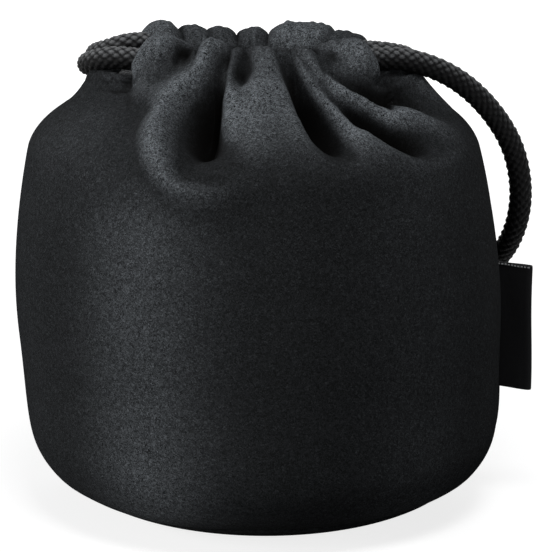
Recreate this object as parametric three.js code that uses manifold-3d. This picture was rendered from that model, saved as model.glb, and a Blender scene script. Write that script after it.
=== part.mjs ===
// A padded drawstring pouch for a camera lens, in millimetres, +Z up.
// The origin is the centre of the flat foot that it stands on, and its front faces -Y.
// Two sewn panels make the wall. Above the shoulder they are gathered into pleats,
// and the hem of each is folded over into a channel that two drawcords run through.

import * as THREE from 'three';
import { mergeVertices } from 'three/addons/utils/BufferGeometryUtils.js';
import Module from 'manifold-3d';

const wasm = await Module();
wasm.setup();

// Body
const footRadius = 25; // flat circle that the pouch stands on
const heelHeight = 16; // where the rounded heel meets the wall
const heelRadius = 46.2;
const heelFullness = 1.75; // 2 is an ellipse, less is flatter
const waistHeight = 46; // widest ring
const waistRadius = 48.1;
const shoulderHeight = 72; // where the gathers begin
const shoulderRadius = 44.7;
const leanPerHeight = -0.035; // sideways lean of the filled pouch, mm per mm of height

// Layers
const clothThickness = 1.2;
const paddingThickness = 2;
const liningThickness = 0.6;
const layerGap = 0.3; // room between pieces that touch
const baseSeam = 0.4; // share of the heel curve below which the base panel begins
const paddingTop = 1.95; // padding ends just under the shoulder, which is 2
const liningTop = 1.98;

// Gathered neck
const lipBendHeight = 8; // above the shoulder, where a lip bends outwards
const swellHeight = 7.25; // above the shoulder, before the cloth turns inwards
const kneeShare = 0.46; // share of the way out where the gathers flatten
const kneeHeight = 9.75; // above the shoulder
const seamPinch = 0.27; // how much less the knee's share is at the seams, which the cords draw in
const seamDrop = 1; // how much lower the knee is there
const seamPinchReach = 0.24; // share of a panel over which that fades away from its seam
const rightSeamShare = 0.65; // the right seam is drawn in less than the left one
const pleatTilt = THREE.MathUtils.degToRad(60); // pleats sink square to the slope
const pleatDepth = 9; // of the deepest valley
const pleatOnset = 0.25; // share of the neck over which a valley deepens
const pleatRelease = 0.78; // share of the neck above which valleys fade into the hem
const crowdOut = 4.2; // how far crowded gathers stand out, as they climb straight to the hem
const crowdOnset = 0.2; // share of the neck where they begin to
const crowdFull = 0.6;

// Drawcords and their channel
const cordDiameter = 4.5;
const channelHalfLength = 23.5;
const channelHeight = 15.8; // middle of the lip's channel above the shoulder
const channelEndHeight = 0.8; // how much higher the channel is at its ends
const backTiltHeight = 1; // the back lip is lower at its right end and higher at its left
const mouthHalfGap = 2.9; // how far the lip bows away from the middle of the mouth
const lobeDepth = 1.7; // puff of the cloth between two pleats
const lobeSquareness = 6; // how late the puffs die away towards the ends
const runOffset = (cordDiameter + layerGap) / 2; // two cords wind round each other
const tunnelRadius = runOffset + cordDiameter / 2 + layerGap;
const channelRadius = tunnelRadius + clothThickness;
const bightStraight = 1; // a cord leaves its channel straight
const bightBulge = 3.6; // how far its bend stands out of the channel's end
const channelEndOffset = channelRadius + layerGap;
const collarHalfLength = 31; // edge of the cloth round the ends of the channel
const collarJoin = 0.66; // share of the channel's radius, low on its outer side
const collarHalfDepth = channelEndOffset + mouthHalfGap + collarJoin * channelRadius;
const collarDrop = collarJoin * channelRadius;
const collarEndHeight = 1.6; // how much higher the collar is at its ends
const collarSquareness = 3; // 2 is an ellipse, more is squarer

// Side label
const labelHeight = 25.6;
const labelWidth = 6;
const labelBottom = 22.8;
const labelThickness = 1.4;
const labelPly = 0.45;
const labelTurn = THREE.MathUtils.degToRad(-30); // towards the front

// Facets
const columns = 38;
const heelRows = 3;
const wallRows = 3;
const neckRows = 6;
const roundSides = 28;
const cordSides = 8;
const runSteps = 14;
const bightSteps = 10;
const legSteps = 20;
const channelSides = 12;
const channelStations = 30;
const tunnelSides = 16;
const tunnelStations = 12;
const labelSegments = 5;

// Valleys of each lip: place is the share of the way from the left seam to the right one,
// width and depth are shares, and low is where on the neck the valley starts.
const frontPleats = [
  { place: 0.2, width: 0.06, depth: 0.2, low: 0.45 },
  { place: 0.43, width: 0.04, depth: 1, low: 0.25 },
  { place: 0.597, width: 0.035, depth: 0.85, low: 0.25 },
  { place: 0.7, width: 0.025, depth: 0.2, low: 0.5 },
  { place: 0.76, width: 0.035, depth: 0.85, low: 0.15 },
  { place: 0.85, width: 0.035, depth: 0.35, low: 0.4 },
];
const backPleats = [
  { place: 0.16, width: 0.04, depth: 0.3, low: 0.4 },
  { place: 0.305, width: 0.04, depth: 0.8, low: 0.3 },
  { place: 0.457, width: 0.04, depth: 0.9, low: 0.25 },
  { place: 0.57, width: 0.035, depth: 0.45, low: 0.3 },
  { place: 0.71, width: 0.04, depth: 0.8, low: 0.3 },
  { place: 0.84, width: 0.04, depth: 0.3, low: 0.3 },
];

// Where along each lip the gathers crowd: from start to end, most between full and last
const frontCrowd = { start: 0.22, full: 0.42, last: 0.66, end: 0.84 };
const backCrowd = { start: 0.1, full: 0.36, last: 0.64, end: 0.9 };

// Routes of the four free legs of the cords, chosen by hand after the first point,
// which is the end of the channel.
const rightFrontRoute = [
  [26.6, -5.5, 91], [32, -4, 89.3], [37, -2, 86.6], [41.6, 0.4, 82.6], [45.4, 2.8, 77.9],
  [48.8, 5.2, 72.2], [50.6, 7, 66.5], [51.4, 9, 59.8], [50.7, 11.4, 53.6], [48.6, 16.4, 47],
  [45, 24, 41.4], [40.8, 30.6, 37.6], [37.2, 34.8, 36], [35.5, 36.6, 36],
];
const rightBackRoute = [
  [24.6, 7.8, 89.6], [26.2, 12.8, 87.4], [25, 20, 84.9], [22.6, 28, 83], [19.8, 36.2, 80.4],
  [17.4, 43.4, 75.2], [15.6, 47, 66], [15.2, 48.2, 55], [16.4, 48.2, 45.4], [20.8, 46.9, 38.2],
  [27, 43.9, 36], [33.3, 38.9, 36], [35.25, 36.87, 36],
];
const leftFrontRoute = [
  [-31.4, -4.8, 91.4], [-35, -1.6, 90], [-36.2, 4, 88.9], [-36, 10.4, 88],
  [-35.8, 18, 86], [-36.4, 25.2, 82.4], [-38.6, 31.2, 74.8], [-39.2, 33.4, 64],
  [-39, 35.2, 53], [-37, 38, 43], [-32, 41.8, 37], [-27.5, 44.8, 35.5], [-25.6, 45.8, 35.5],
];
const leftBackRoute = [
  [-30.8, 8, 92.2], [-32.2, 13.4, 91.1], [-31.2, 21, 88.9], [-28.4, 29, 85.8], [-25, 36.8, 81.4],
  [-21.4, 43.4, 74.6], [-17.2, 47.6, 65], [-15, 49.2, 54.6], [-15.2, 49.4, 45],
  [-18.6, 48.7, 37.7], [-23.1, 47.1, 35.5], [-25.28, 45.96, 35.5],
];

// Puts points of the upright pouch where the leaning one has them
function leanPoint(point) {
  point.x += leanPerHeight * point.z;
  return point;
}

// A closed triangle mesh with shared corners and faces that point out
function closedGeometry(corners, faces) {
  const [a, b, c] = [new THREE.Vector3(), new THREE.Vector3(), new THREE.Vector3()];
  let volume = 0;
  for (let k = 0; k < faces.length; k += 3) {
    a.copy(corners[faces[k]]);
    b.copy(corners[faces[k + 1]]);
    c.copy(corners[faces[k + 2]]);
    volume += a.dot(b.cross(c));
  }
  const geometry = new THREE.BufferGeometry().setFromPoints(corners);
  geometry.setIndex(volume > 0 ? faces : faces.toReversed());
  return geometry;
}

// A thick sheet between two grids of points, pointAt(column, row, layer), layer 0 or 1
function sheetGeometry(columnCount, rowCount, pointAt) {
  const corners = [];
  const faces = [];
  for (let layer = 0; layer < 2; layer++) {
    for (let i = 0; i <= columnCount; i++) {
      for (let j = 0; j <= rowCount; j++) corners.push(pointAt(i, j, layer));
    }
  }
  const rowPoints = rowCount + 1;
  const layerPoints = (columnCount + 1) * rowPoints;
  const corner = (i, j, layer) => layer * layerPoints + i * rowPoints + j;
  const quad = (a, b, c, d) => faces.push(a, b, c, a, c, d);
  for (let i = 0; i < columnCount; i++) {
    for (let j = 0; j < rowCount; j++) {
      quad(corner(i, j, 0), corner(i + 1, j, 0), corner(i + 1, j + 1, 0), corner(i, j + 1, 0));
      quad(corner(i, j, 1), corner(i, j + 1, 1), corner(i + 1, j + 1, 1), corner(i + 1, j, 1));
    }
    quad(corner(i, 0, 0), corner(i, 0, 1), corner(i + 1, 0, 1), corner(i + 1, 0, 0));
    const top = rowCount;
    quad(corner(i, top, 0), corner(i + 1, top, 0), corner(i + 1, top, 1), corner(i, top, 1));
  }
  for (let j = 0; j < rowCount; j++) {
    quad(corner(0, j, 0), corner(0, j + 1, 0), corner(0, j + 1, 1), corner(0, j, 1));
    const end = columnCount;
    quad(corner(end, j, 0), corner(end, j, 1), corner(end, j + 1, 1), corner(end, j + 1, 0));
  }
  return closedGeometry(corners, faces);
}

// A closed tube through rings of equally many points, with flat ends
function ringGeometry(rings) {
  const sides = rings[0].length;
  const corners = rings.flat();
  const faces = [];
  for (let i = 0; i + 1 < rings.length; i++) {
    for (let k = 0; k < sides; k++) {
      const next = (k + 1) % sides;
      const [a, b] = [i * sides + k, i * sides + next];
      faces.push(a, a + sides, b + sides, a, b + sides, b);
    }
  }
  const last = (rings.length - 1) * sides;
  for (let k = 1; k + 1 < sides; k++) {
    faces.push(0, k, k + 1);
    faces.push(last, last + k + 1, last + k);
  }
  return closedGeometry(corners, faces);
}

function toSolid(geometry) {
  const bare = geometry.clone();
  bare.deleteAttribute('normal');
  bare.deleteAttribute('uv');
  const merged = mergeVertices(bare, 1e-4);
  return new wasm.Manifold(new wasm.Mesh({
    numProp: 3,
    vertProperties: Float32Array.from(merged.attributes.position.array),
    triVerts: Uint32Array.from(merged.index.array),
  }));
}

function fromSolid(solid) {
  const mesh = solid.getMesh();
  const geometry = new THREE.BufferGeometry();
  geometry.setAttribute('position', new THREE.BufferAttribute(mesh.vertProperties, 3));
  geometry.setIndex(new THREE.BufferAttribute(mesh.triVerts, 1));
  return geometry;
}

// Everything between two heights
function slab(bottom, top) {
  const wide = 4 * waistRadius;
  const box = new THREE.BoxGeometry(wide, wide, top - bottom);
  return toSolid(box.translate(0, 0, (bottom + top) / 2));
}

// The wall in section as (radius, height): share 0 to 1 is the heel, 1 to 2 the wall
function wallProfile(share) {
  if (share < 1) {
    const angle = (share * Math.PI) / 2;
    const power = 2 / heelFullness;
    const out = Math.sin(angle) ** power;
    const up = 1 - Math.cos(angle) ** power;
    return new THREE.Vector2(footRadius + (heelRadius - footRadius) * out, heelHeight * up);
  }
  const height = THREE.MathUtils.lerp(heelHeight, shoulderHeight, share - 1);
  const [a, b, c] = [heelHeight, waistHeight, shoulderHeight];
  const radius =
    (heelRadius * (height - b) * (height - c)) / ((a - b) * (a - c)) +
    (waistRadius * (height - a) * (height - c)) / ((b - a) * (b - c)) +
    (shoulderRadius * (height - a) * (height - b)) / ((c - a) * (c - b));
  return new THREE.Vector2(radius, height);
}

// The same wall, sunk square to its surface
function sunkProfile(share, depth) {
  const step = 1e-3;
  const along = wallProfile(share + step).sub(wallProfile(Math.max(share - step, 0)));
  along.normalize();
  return wallProfile(share).add(new THREE.Vector2(-along.y, along.x).multiplyScalar(depth));
}

// The step in share that spans half a gap at the base seam
function seamShare() {
  const step = 1e-3;
  const speed = wallProfile(baseSeam + step).distanceTo(wallProfile(baseSeam)) / step;
  return layerGap / 2 / speed;
}

// A turned layer of the base or of the wall between two depths under the surface
function turnedLayer(shares, depth, thickness, reachesAxis) {
  const outer = shares.map((share) => sunkProfile(share, depth));
  const inner = shares.map((share) => sunkProfile(share, depth + thickness));
  const profile = [...outer, ...inner.reverse()];
  if (reachesAxis) {
    profile.unshift(new THREE.Vector2(0, depth));
    profile.push(new THREE.Vector2(0, depth + thickness));
  } else {
    profile.push(profile[0].clone());
  }
  const geometry = new THREE.LatheGeometry(profile, roundSides);
  return leanGeometry(geometry.rotateX(Math.PI / 2));
}

function leanGeometry(geometry) {
  return geometry.applyMatrix4(new THREE.Matrix4().makeShear(0, 0, 0, 0, leanPerHeight, 0));
}

function evenShares(start, end, count) {
  return Array.from({ length: count + 1 }, (_, k) => start + ((end - start) * k) / count);
}

function valley(pleat, place) {
  return Math.exp(-(((place - pleat.place) / pleat.width) ** 2));
}

// How far the cloth of a lip sinks at a place along it and a share of the way up the neck
function pleatSink(pleats, place, climb) {
  const fade = 1 - THREE.MathUtils.smoothstep(climb, pleatRelease, 1);
  let sink = 0;
  for (const pleat of pleats) {
    const start = THREE.MathUtils.smoothstep(climb, pleat.low, pleat.low + pleatOnset);
    sink += pleatDepth * pleat.depth * valley(pleat, place) * start * fade;
  }
  return sink;
}

// How far crowded gathers stand out at a place along a lip and a share of the way up the neck
function crowdRise(crowd, place, climb) {
  const comes = THREE.MathUtils.smoothstep(place, crowd.start, crowd.full);
  const goes = THREE.MathUtils.smoothstep(place, crowd.last, crowd.end);
  return crowdOut * comes * (1 - goes) * THREE.MathUtils.smoothstep(climb, crowdOnset, crowdFull);
}

// Edge of the gathered cloth round the mouth, at an angle from the right-hand seam
function collarPoint(angle, side) {
  const across = Math.cos(angle);
  const spread = collarHalfLength / channelHalfLength - 1;
  const x = channelHalfLength * across * (1 + spread * across * across);
  const inside = Math.max(1 - Math.abs(x / collarHalfLength) ** collarSquareness, 0);
  const y = collarHalfDepth * inside ** (1 / collarSquareness);
  const tilt = side > 0 ? backTiltHeight * across : 0;
  const rise = channelHeight - collarDrop + collarEndHeight * across * across - tilt;
  return new THREE.Vector3(x, side * y, shoulderHeight + rise);
}

// How much the cords draw the neck in at a place along a lip: 1 at the left seam
function seamDraw(place) {
  const left = 1 - THREE.MathUtils.smoothstep(place, 0, seamPinchReach);
  const right = 1 - THREE.MathUtils.smoothstep(1 - place, 0, seamPinchReach);
  return left + rightSeamShare * right;
}

// How far the wall leans out per height where it meets the neck
function shoulderSlope() {
  const step = 1e-3;
  const along = wallProfile(2).sub(wallProfile(2 - step));
  return along.x / along.y;
}

// A point of a panel: share up to 2 is the wall, 2 to 3 the gathered neck
function panelPoint(angle, share, depth, side, pleats) {
  if (share <= 2) {
    const { x: radius, y: height } = sunkProfile(share, depth);
    return new THREE.Vector3(radius * Math.cos(angle), side * radius * Math.sin(angle), height);
  }
  const climb = share - 2;
  const collar = collarPoint(angle, side);
  const shoulder = new THREE.Vector3(
    shoulderRadius * Math.cos(angle),
    side * shoulderRadius * Math.sin(angle),
    shoulderHeight,
  );
  const outward = shoulder.clone().sub(collar).setZ(0);
  const reach = outward.length();
  outward.normalize();
  const place = 1 - angle / Math.PI;
  const draw = seamDraw(place);
  const slope = new THREE.CubicBezierCurve(
    new THREE.Vector2(reach, shoulderHeight),
    new THREE.Vector2(reach + shoulderSlope() * swellHeight, shoulderHeight + swellHeight),
    new THREE.Vector2(
      reach * (kneeShare - seamPinch * draw),
      shoulderHeight + kneeHeight - seamDrop * draw,
    ),
    new THREE.Vector2(0, collar.z),
  ).getPoint(climb);
  const crowd = side < 0 ? frontCrowd : backCrowd;
  const sink = pleatSink(pleats, place, climb) - crowdRise(crowd, place, climb) + depth;
  const out = slope.x - sink * Math.cos(pleatTilt);
  const point = collar.clone().addScaledVector(outward, out);
  point.z = slope.y - sink * Math.sin(pleatTilt);
  return point;
}

// One whole panel from the base seam to the edge of the channel
function panelGeometry(side, pleats) {
  const shares = [
    ...evenShares(baseSeam + seamShare(), 1, heelRows),
    ...evenShares(1, 2, wallRows).slice(1),
    ...evenShares(2, 3, neckRows).slice(1),
  ];
  const edge = Math.asin(layerGap / 2 / collarHalfLength);
  const angles = evenShares(edge, Math.PI - edge, columns);
  return sheetGeometry(columns, shares.length - 1, (i, j, layer) =>
    leanPoint(panelPoint(angles[i], shares[j], layer * clothThickness, side, pleats)),
  );
}

// Middle of a channel, at a share of the way from its right end to its left end
function channelPoint(share, side) {
  const across = 1 - 2 * share;
  const bow = 1 - across * across;
  const tilt = side > 0 ? backTiltHeight * across : 0;
  return new THREE.Vector3(
    channelHalfLength * across,
    side * (channelEndOffset + mouthHalfGap * bow),
    shoulderHeight + channelHeight + channelEndHeight * across * across - tilt,
  );
}

// A point beside the middle of a channel: turn 0 is outwards and a quarter turn is up
function besideChannel(share, side, turn, radius) {
  const step = 1e-3;
  const along = channelPoint(share + step, side).sub(channelPoint(share - step, side));
  const outward = new THREE.Vector3(-along.y, along.x, 0).normalize();
  if (outward.y * side < 0) outward.negate();
  return leanPoint(
    channelPoint(share, side)
      .addScaledVector(outward, radius * Math.cos(turn))
      .add(new THREE.Vector3(0, 0, radius * Math.sin(turn))),
  );
}

// The folded hem, puffed out between the pleats and flat at its two ends
function channelSolid(side, pleats) {
  const rings = evenShares(0, 1, channelStations).map((share) => {
    const place = Math.acos(2 * share - 1) / Math.PI;
    let puff = 1 - Math.abs(1 - 2 * share) ** lobeSquareness;
    for (const pleat of pleats) puff *= 1 - pleat.depth * valley(pleat, place);
    return evenShares(0, 1, channelSides).slice(1).map((round) => {
      const turn = round * 2 * Math.PI;
      const faces = ((1 + Math.cos(turn - Math.PI / 3)) / 2) ** 2;
      return besideChannel(share, side, turn, channelRadius + lobeDepth * puff * faces);
    });
  });
  return toSolid(ringGeometry(rings));
}

// The bore that the cords run through, a little longer than the channel
function tunnelSolid(side) {
  const over = layerGap / channelHalfLength;
  const cornerRadius = tunnelRadius / Math.cos(Math.PI / tunnelSides);
  const rings = evenShares(-over, 1 + over, tunnelStations).map((share) =>
    evenShares(0, 1, tunnelSides).slice(1).map((round) =>
      besideChannel(share, side, round * 2 * Math.PI, cornerRadius),
    ),
  );
  return toSolid(ringGeometry(rings));
}

function cordGeometry(points, steps) {
  const section = new THREE.Shape().absarc(0, 0, cordDiameter / 2, 0, 2 * Math.PI);
  return new THREE.ExtrudeGeometry(section, {
    steps,
    curveSegments: cordSides / 2,
    bevelEnabled: false,
    extrudePath: new THREE.CatmullRomCurve3(points, false, 'centripetal'),
  });
}

// A cord inside a channel: it is on top at its own end, below at the other, and makes half
// a turn round the other cord on the way
function runPoint(share, side, ownEnd) {
  const top = Math.PI / 2;
  const bottom = top + Math.PI;
  const start = ownEnd === 'right' ? top : bottom;
  return besideChannel(share, side, start - Math.PI * share, runOffset);
}

function runGeometry(side, ownEnd) {
  const points = evenShares(0, 1, runSteps).map((share) => runPoint(share, side, ownEnd));
  return cordGeometry(points, runSteps);
}

// The first two points of what goes on from a run at one end of a channel: they lie on the
// run's own line, past the gap that touching pieces keep
function pastChannel(end, side, ownEnd) {
  const last = runPoint(end === 'right' ? 0 : 1, side, ownEnd);
  const before = runPoint(end === 'right' ? 0.05 : 0.95, side, ownEnd);
  const ahead = last.clone().sub(before).normalize();
  const start = last.clone().addScaledVector(ahead, layerGap);
  return [start, start.clone().addScaledVector(ahead, bightStraight)];
}

// The bend of a cord from one channel to the other at the end where it doesn't come out
function bightGeometry(end, ownEnd) {
  const front = pastChannel(end, -1, ownEnd);
  const back = pastChannel(end, 1, ownEnd).reverse();
  const outwards = end === 'right' ? 1 : -1;
  const middle = front[0].clone().lerp(back[1], 0.5).setY(0);
  middle.x += outwards * bightBulge;
  return cordGeometry([...front, middle, ...back], bightSteps);
}

function legGeometry(end, side, route) {
  const points = route.map((point) => new THREE.Vector3(...point));
  return cordGeometry([...pastChannel(end, side, end), ...points], legSteps);
}

// A woven ribbon folded double and caught in the right-hand seam
function labelGeometry() {
  const halfThick = labelThickness / 2;
  const outline = new THREE.Shape();
  outline.moveTo(0, -halfThick);
  outline.lineTo(labelWidth - halfThick, -halfThick);
  outline.absarc(labelWidth - halfThick, 0, halfThick, -Math.PI / 2, Math.PI / 2);
  outline.lineTo(0, halfThick);
  outline.absarc(0, 0, halfThick, Math.PI / 2, 1.5 * Math.PI);
  const inside = new THREE.Path();
  const halfInside = halfThick - labelPly;
  inside.moveTo(halfThick, 0);
  inside.lineTo(labelWidth - halfThick, halfInside);
  inside.absarc(labelWidth - halfThick, 0, halfInside, Math.PI / 2, -Math.PI / 2, true);
  outline.holes.push(inside);
  return new THREE.ExtrudeGeometry(outline, {
    depth: labelHeight,
    curveSegments: labelSegments,
    bevelEnabled: false,
  });
}

const suede = new THREE.MeshStandardMaterial({ color: 0x2b2c2e, roughness: 0.95 });
const foam = new THREE.MeshStandardMaterial({ color: 0x4a4a48, roughness: 1 });
const tricot = new THREE.MeshStandardMaterial({ color: 0x1d1e20, roughness: 0.8 });
const braid = new THREE.MeshStandardMaterial({ color: 0x151517, roughness: 0.7 });
const ribbon = new THREE.MeshStandardMaterial({ color: 0x0d0d0e, roughness: 0.6 });

const pouch = new THREE.Group();

function addPiece(name, geometry, material) {
  const mesh = new THREE.Mesh(geometry, material.clone());
  mesh.name = name;
  pouch.add(mesh);
  return mesh;
}

// Wall and gathered neck, each panel parted where its lip bends
const lipBend = shoulderHeight + lipBendHeight;
const below = slab(-lipBend, lipBend - layerGap / 2);
const above = slab(lipBend + layerGap / 2, 2 * lipBend);
for (const [name, side, pleats] of [['front', -1, frontPleats], ['back', 1, backPleats]]) {
  const panel = toSolid(panelGeometry(side, pleats));
  const lip = panel.intersect(above).add(channelSolid(side, pleats));
  addPiece(`${name}_panel`, fromSolid(panel.intersect(below)), suede);
  addPiece(`${name}_neck`, fromSolid(lip.subtract(tunnelSolid(side))), suede);
}

// Base and inner layers
const baseShares = evenShares(0, baseSeam - seamShare(), 2);
const wallShares = (top) => [
  ...evenShares(baseSeam + seamShare(), 1, heelRows),
  ...evenShares(1, top, wallRows).slice(1),
];
const paddingDepth = clothThickness + layerGap;
const liningDepth = paddingDepth + paddingThickness + layerGap;
addPiece('base_panel', turnedLayer(baseShares, 0, clothThickness, true), suede);
addPiece('base_padding', turnedLayer(baseShares, paddingDepth, paddingThickness, true), foam);
addPiece('base_lining', turnedLayer(baseShares, liningDepth, liningThickness, true), tricot);
addPiece(
  'wall_padding',
  turnedLayer(wallShares(paddingTop), paddingDepth, paddingThickness, false),
  foam,
);
addPiece(
  'wall_lining',
  turnedLayer(wallShares(liningTop), liningDepth, liningThickness, false),
  tricot,
);

// Two drawcords, each through both channels and out at its own side
for (const [end, other] of [['right', 'left'], ['left', 'right']]) {
  addPiece(`${end}_cord_front_run`, runGeometry(-1, end), braid);
  addPiece(`${end}_cord_back_run`, runGeometry(1, end), braid);
  addPiece(`${end}_cord_bight`, bightGeometry(other, end), braid);
}
addPiece('right_cord_front_leg', legGeometry('right', -1, rightFrontRoute), braid);
addPiece('right_cord_back_leg', legGeometry('right', 1, rightBackRoute), braid);
addPiece('left_cord_front_leg', legGeometry('left', -1, leftFrontRoute), braid);
addPiece('left_cord_back_leg', legGeometry('left', 1, leftBackRoute), braid);

// Label, free to fold about the seam that holds it
const labelMiddle = labelBottom + labelHeight / 2;
const labelShare = 1 + (labelMiddle - heelHeight) / (shoulderHeight - heelHeight);
const label = addPiece('side_label', labelGeometry(), ribbon);
label.position.set(
  wallProfile(labelShare).x + leanPerHeight * labelMiddle + layerGap + labelThickness / 2,
  0,
  labelBottom,
);
label.rotation.z = labelTurn;

export default pouch;
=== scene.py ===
"""Dresses a padded drawstring lens pouch: suede skins, braided cords and a folded label.

Sizes are written in millimetres and turned into metres where a mesh is made. The front of the
pouch faces -Y, +X is the side with the label and the origin is the middle of its foot.
"""
import logging
import math
from dataclasses import dataclass
from enum import Enum
from typing import ClassVar, Sequence, Union

import bmesh
import bpy
import numpy as np
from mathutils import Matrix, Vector


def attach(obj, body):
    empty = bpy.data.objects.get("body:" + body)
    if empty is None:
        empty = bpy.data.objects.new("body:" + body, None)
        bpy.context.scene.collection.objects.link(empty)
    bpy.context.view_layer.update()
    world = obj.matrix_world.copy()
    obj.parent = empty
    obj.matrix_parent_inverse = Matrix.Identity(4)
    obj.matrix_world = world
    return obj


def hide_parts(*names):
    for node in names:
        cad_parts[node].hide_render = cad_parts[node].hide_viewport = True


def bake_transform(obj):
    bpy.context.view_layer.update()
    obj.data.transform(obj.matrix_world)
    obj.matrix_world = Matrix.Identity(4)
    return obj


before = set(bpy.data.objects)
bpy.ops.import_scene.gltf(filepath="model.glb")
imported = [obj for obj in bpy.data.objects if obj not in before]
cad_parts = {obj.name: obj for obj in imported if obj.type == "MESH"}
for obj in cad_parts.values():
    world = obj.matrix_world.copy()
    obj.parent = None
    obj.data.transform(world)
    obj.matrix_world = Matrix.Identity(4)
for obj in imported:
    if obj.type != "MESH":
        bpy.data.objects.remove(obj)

log = logging.getLogger("pouch")

MM = 0.001
UP = np.array([0.0, 0.0, 1.0])
Array = np.ndarray
Pair = tuple[float, float]
Point = tuple[float, float, float]


class Side(Enum):
    """Which lip of the pouch a piece belongs to; the value is the sign of its Y."""

    FRONT = -1
    BACK = 1


class Coat(Enum):
    """Names of the finishes, which are also the slots of the record."""

    SUEDE = "suede"
    PADDING = "padding"
    LINING = "lining"
    CORD = "cord"
    LABEL = "label"


# Numbers on arrays


def smooth(low: float, high: float, value: Array) -> Array:
    """Smooth step from 0 at low to 1 at high."""
    share = np.clip((np.asarray(value, float) - low) / (high - low), 0.0, 1.0)
    return share * share * (3.0 - 2.0 * share)


def mix(a: Array, b: Array, share: Array) -> Array:
    """Straight mix of two arrays."""
    return a + (b - a) * share


class Grain:
    """Smooth value noise on a lattice, the same on every run."""

    CELLS = 64

    def __init__(self, seed: int) -> None:
        """Draws the lattice values.

        Args:
            seed: Fixed seed of the lattice.
        """
        self.table = np.random.default_rng(seed).uniform(-1.0, 1.0, (self.CELLS, self.CELLS))

    def at(self, u: Array, v: Array) -> Array:
        """Noise between about -1 and 1.

        Args:
            u: First coordinate, one lattice cell to a unit.
            v: Second coordinate.

        Returns:
            Noise values in the shape of u and v.
        """
        iu, iv = np.floor(u).astype(int), np.floor(v).astype(int)
        fu, fv = smooth(0, 1, u - iu), smooth(0, 1, v - iv)

        def corner(a: int, b: int) -> Array:
            """Lattice values at one corner of each cell."""
            return self.table[(iu + a) % self.CELLS, (iv + b) % self.CELLS]

        low = mix(corner(0, 0), corner(1, 0), fu)
        high = mix(corner(0, 1), corner(1, 1), fu)
        return mix(low, high, fv)


def run_along(path: Array) -> Array:
    """Distance of each point of a path from its first one."""
    return np.concatenate([[0.0], np.cumsum(np.linalg.norm(np.diff(path, axis=0), axis=1))])


def spline(points: Sequence[Sequence[float]], step: float, cuts: int = 60) -> Array:
    """Centripetal curve through points, cut into even steps.

    Args:
        points: Points that the curve passes through, in millimetres.
        step: Distance between two points of the result.
        cuts: Number of points from one given point to the next, before they are evened out.

    Returns:
        Points along the curve, one row each.
    """
    given = np.array(points, float)
    given = np.vstack([2 * given[0] - given[1], given, 2 * given[-1] - given[-2]])
    dense = []
    for p0, p1, p2, p3 in zip(given, given[1:], given[2:], given[3:]):
        knots = np.cumsum([0.0] + [np.linalg.norm(b - a) ** 0.5 for a, b in
                                   ((p0, p1), (p1, p2), (p2, p3))])
        t = np.linspace(knots[1], knots[2], cuts, endpoint=False)[:, None]

        def span(a: Array, b: Array, i: int, j: int) -> Array:
            """Points on the way from a at knot i to b at knot j."""
            return ((knots[j] - t) * a + (t - knots[i]) * b) / (knots[j] - knots[i])

        a1, a2, a3 = span(p0, p1, 0, 1), span(p1, p2, 1, 2), span(p2, p3, 2, 3)
        dense.append(span(span(a1, a2, 0, 2), span(a2, a3, 1, 3), 1, 2))
    dense.append(given[-2][None, :])
    line = np.vstack(dense)
    run = run_along(line)
    count = max(int(round(run[-1] / step)), 2)
    even = np.linspace(0.0, run[-1], count + 1)
    return np.stack([np.interp(even, run, line[:, k]) for k in range(3)], axis=1)


def bezier(a: Array, b: Array, c: Array, d: Array, share: Array) -> Array:
    """Points of a cubic curve with four control points, at shares of its way."""
    f = 1.0 - share
    return f ** 3 * a + 3 * f ** 2 * share * b + 3 * f * share ** 2 * c + share ** 3 * d


def carried_frames(path: Array) -> tuple[Array, Array]:
    """Two directions across a path that turn with it and don't twist.

    Args:
        path: Points along the path.

    Returns:
        The first and the second cross direction at each point.
    """
    ahead = np.gradient(path, axis=0)
    ahead /= np.linalg.norm(ahead, axis=1)[:, None]
    first = np.cross(ahead[0], UP)
    first /= np.linalg.norm(first)
    firsts = []
    for direction in ahead:
        first = first - direction * np.dot(first, direction)
        first /= np.linalg.norm(first)
        firsts.append(first.copy())
    firsts = np.array(firsts)
    return firsts, np.cross(ahead, firsts)


# Shader graphs

Value = Union["Wire", float, tuple]


class Wire:
    """A socket of a shader graph that takes part in sums."""

    def __init__(self, shader: "Shader", socket: bpy.types.NodeSocket) -> None:
        """Keeps the socket and the graph that it is in."""
        self.shader = shader
        self.socket = socket

    def _math(self, operation: str, a: Value, b: Value) -> "Wire":
        """One Math node."""
        return self.shader.node("ShaderNodeMath", {0: a, 1: b}, operation=operation)

    def __add__(self, other: Value) -> "Wire":
        """Sum."""
        return self._math("ADD", self, other)

    def __radd__(self, other: Value) -> "Wire":
        """Sum with a number in front."""
        return self._math("ADD", other, self)

    def __sub__(self, other: Value) -> "Wire":
        """Difference."""
        return self._math("SUBTRACT", self, other)

    def __rsub__(self, other: Value) -> "Wire":
        """Difference from a number."""
        return self._math("SUBTRACT", other, self)

    def __mul__(self, other: Value) -> "Wire":
        """Product."""
        return self._math("MULTIPLY", self, other)

    def __rmul__(self, other: Value) -> "Wire":
        """Product with a number in front."""
        return self._math("MULTIPLY", other, self)

    def sine(self) -> "Wire":
        """Sine."""
        return self._math("SINE", self, 0.0)

    def ramp(self, low: float, high: float) -> "Wire":
        """Clamped ramp from 0 at low to 1 at high."""
        return self.shader.node("ShaderNodeMapRange", {0: self, 1: low, 2: high})


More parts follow.
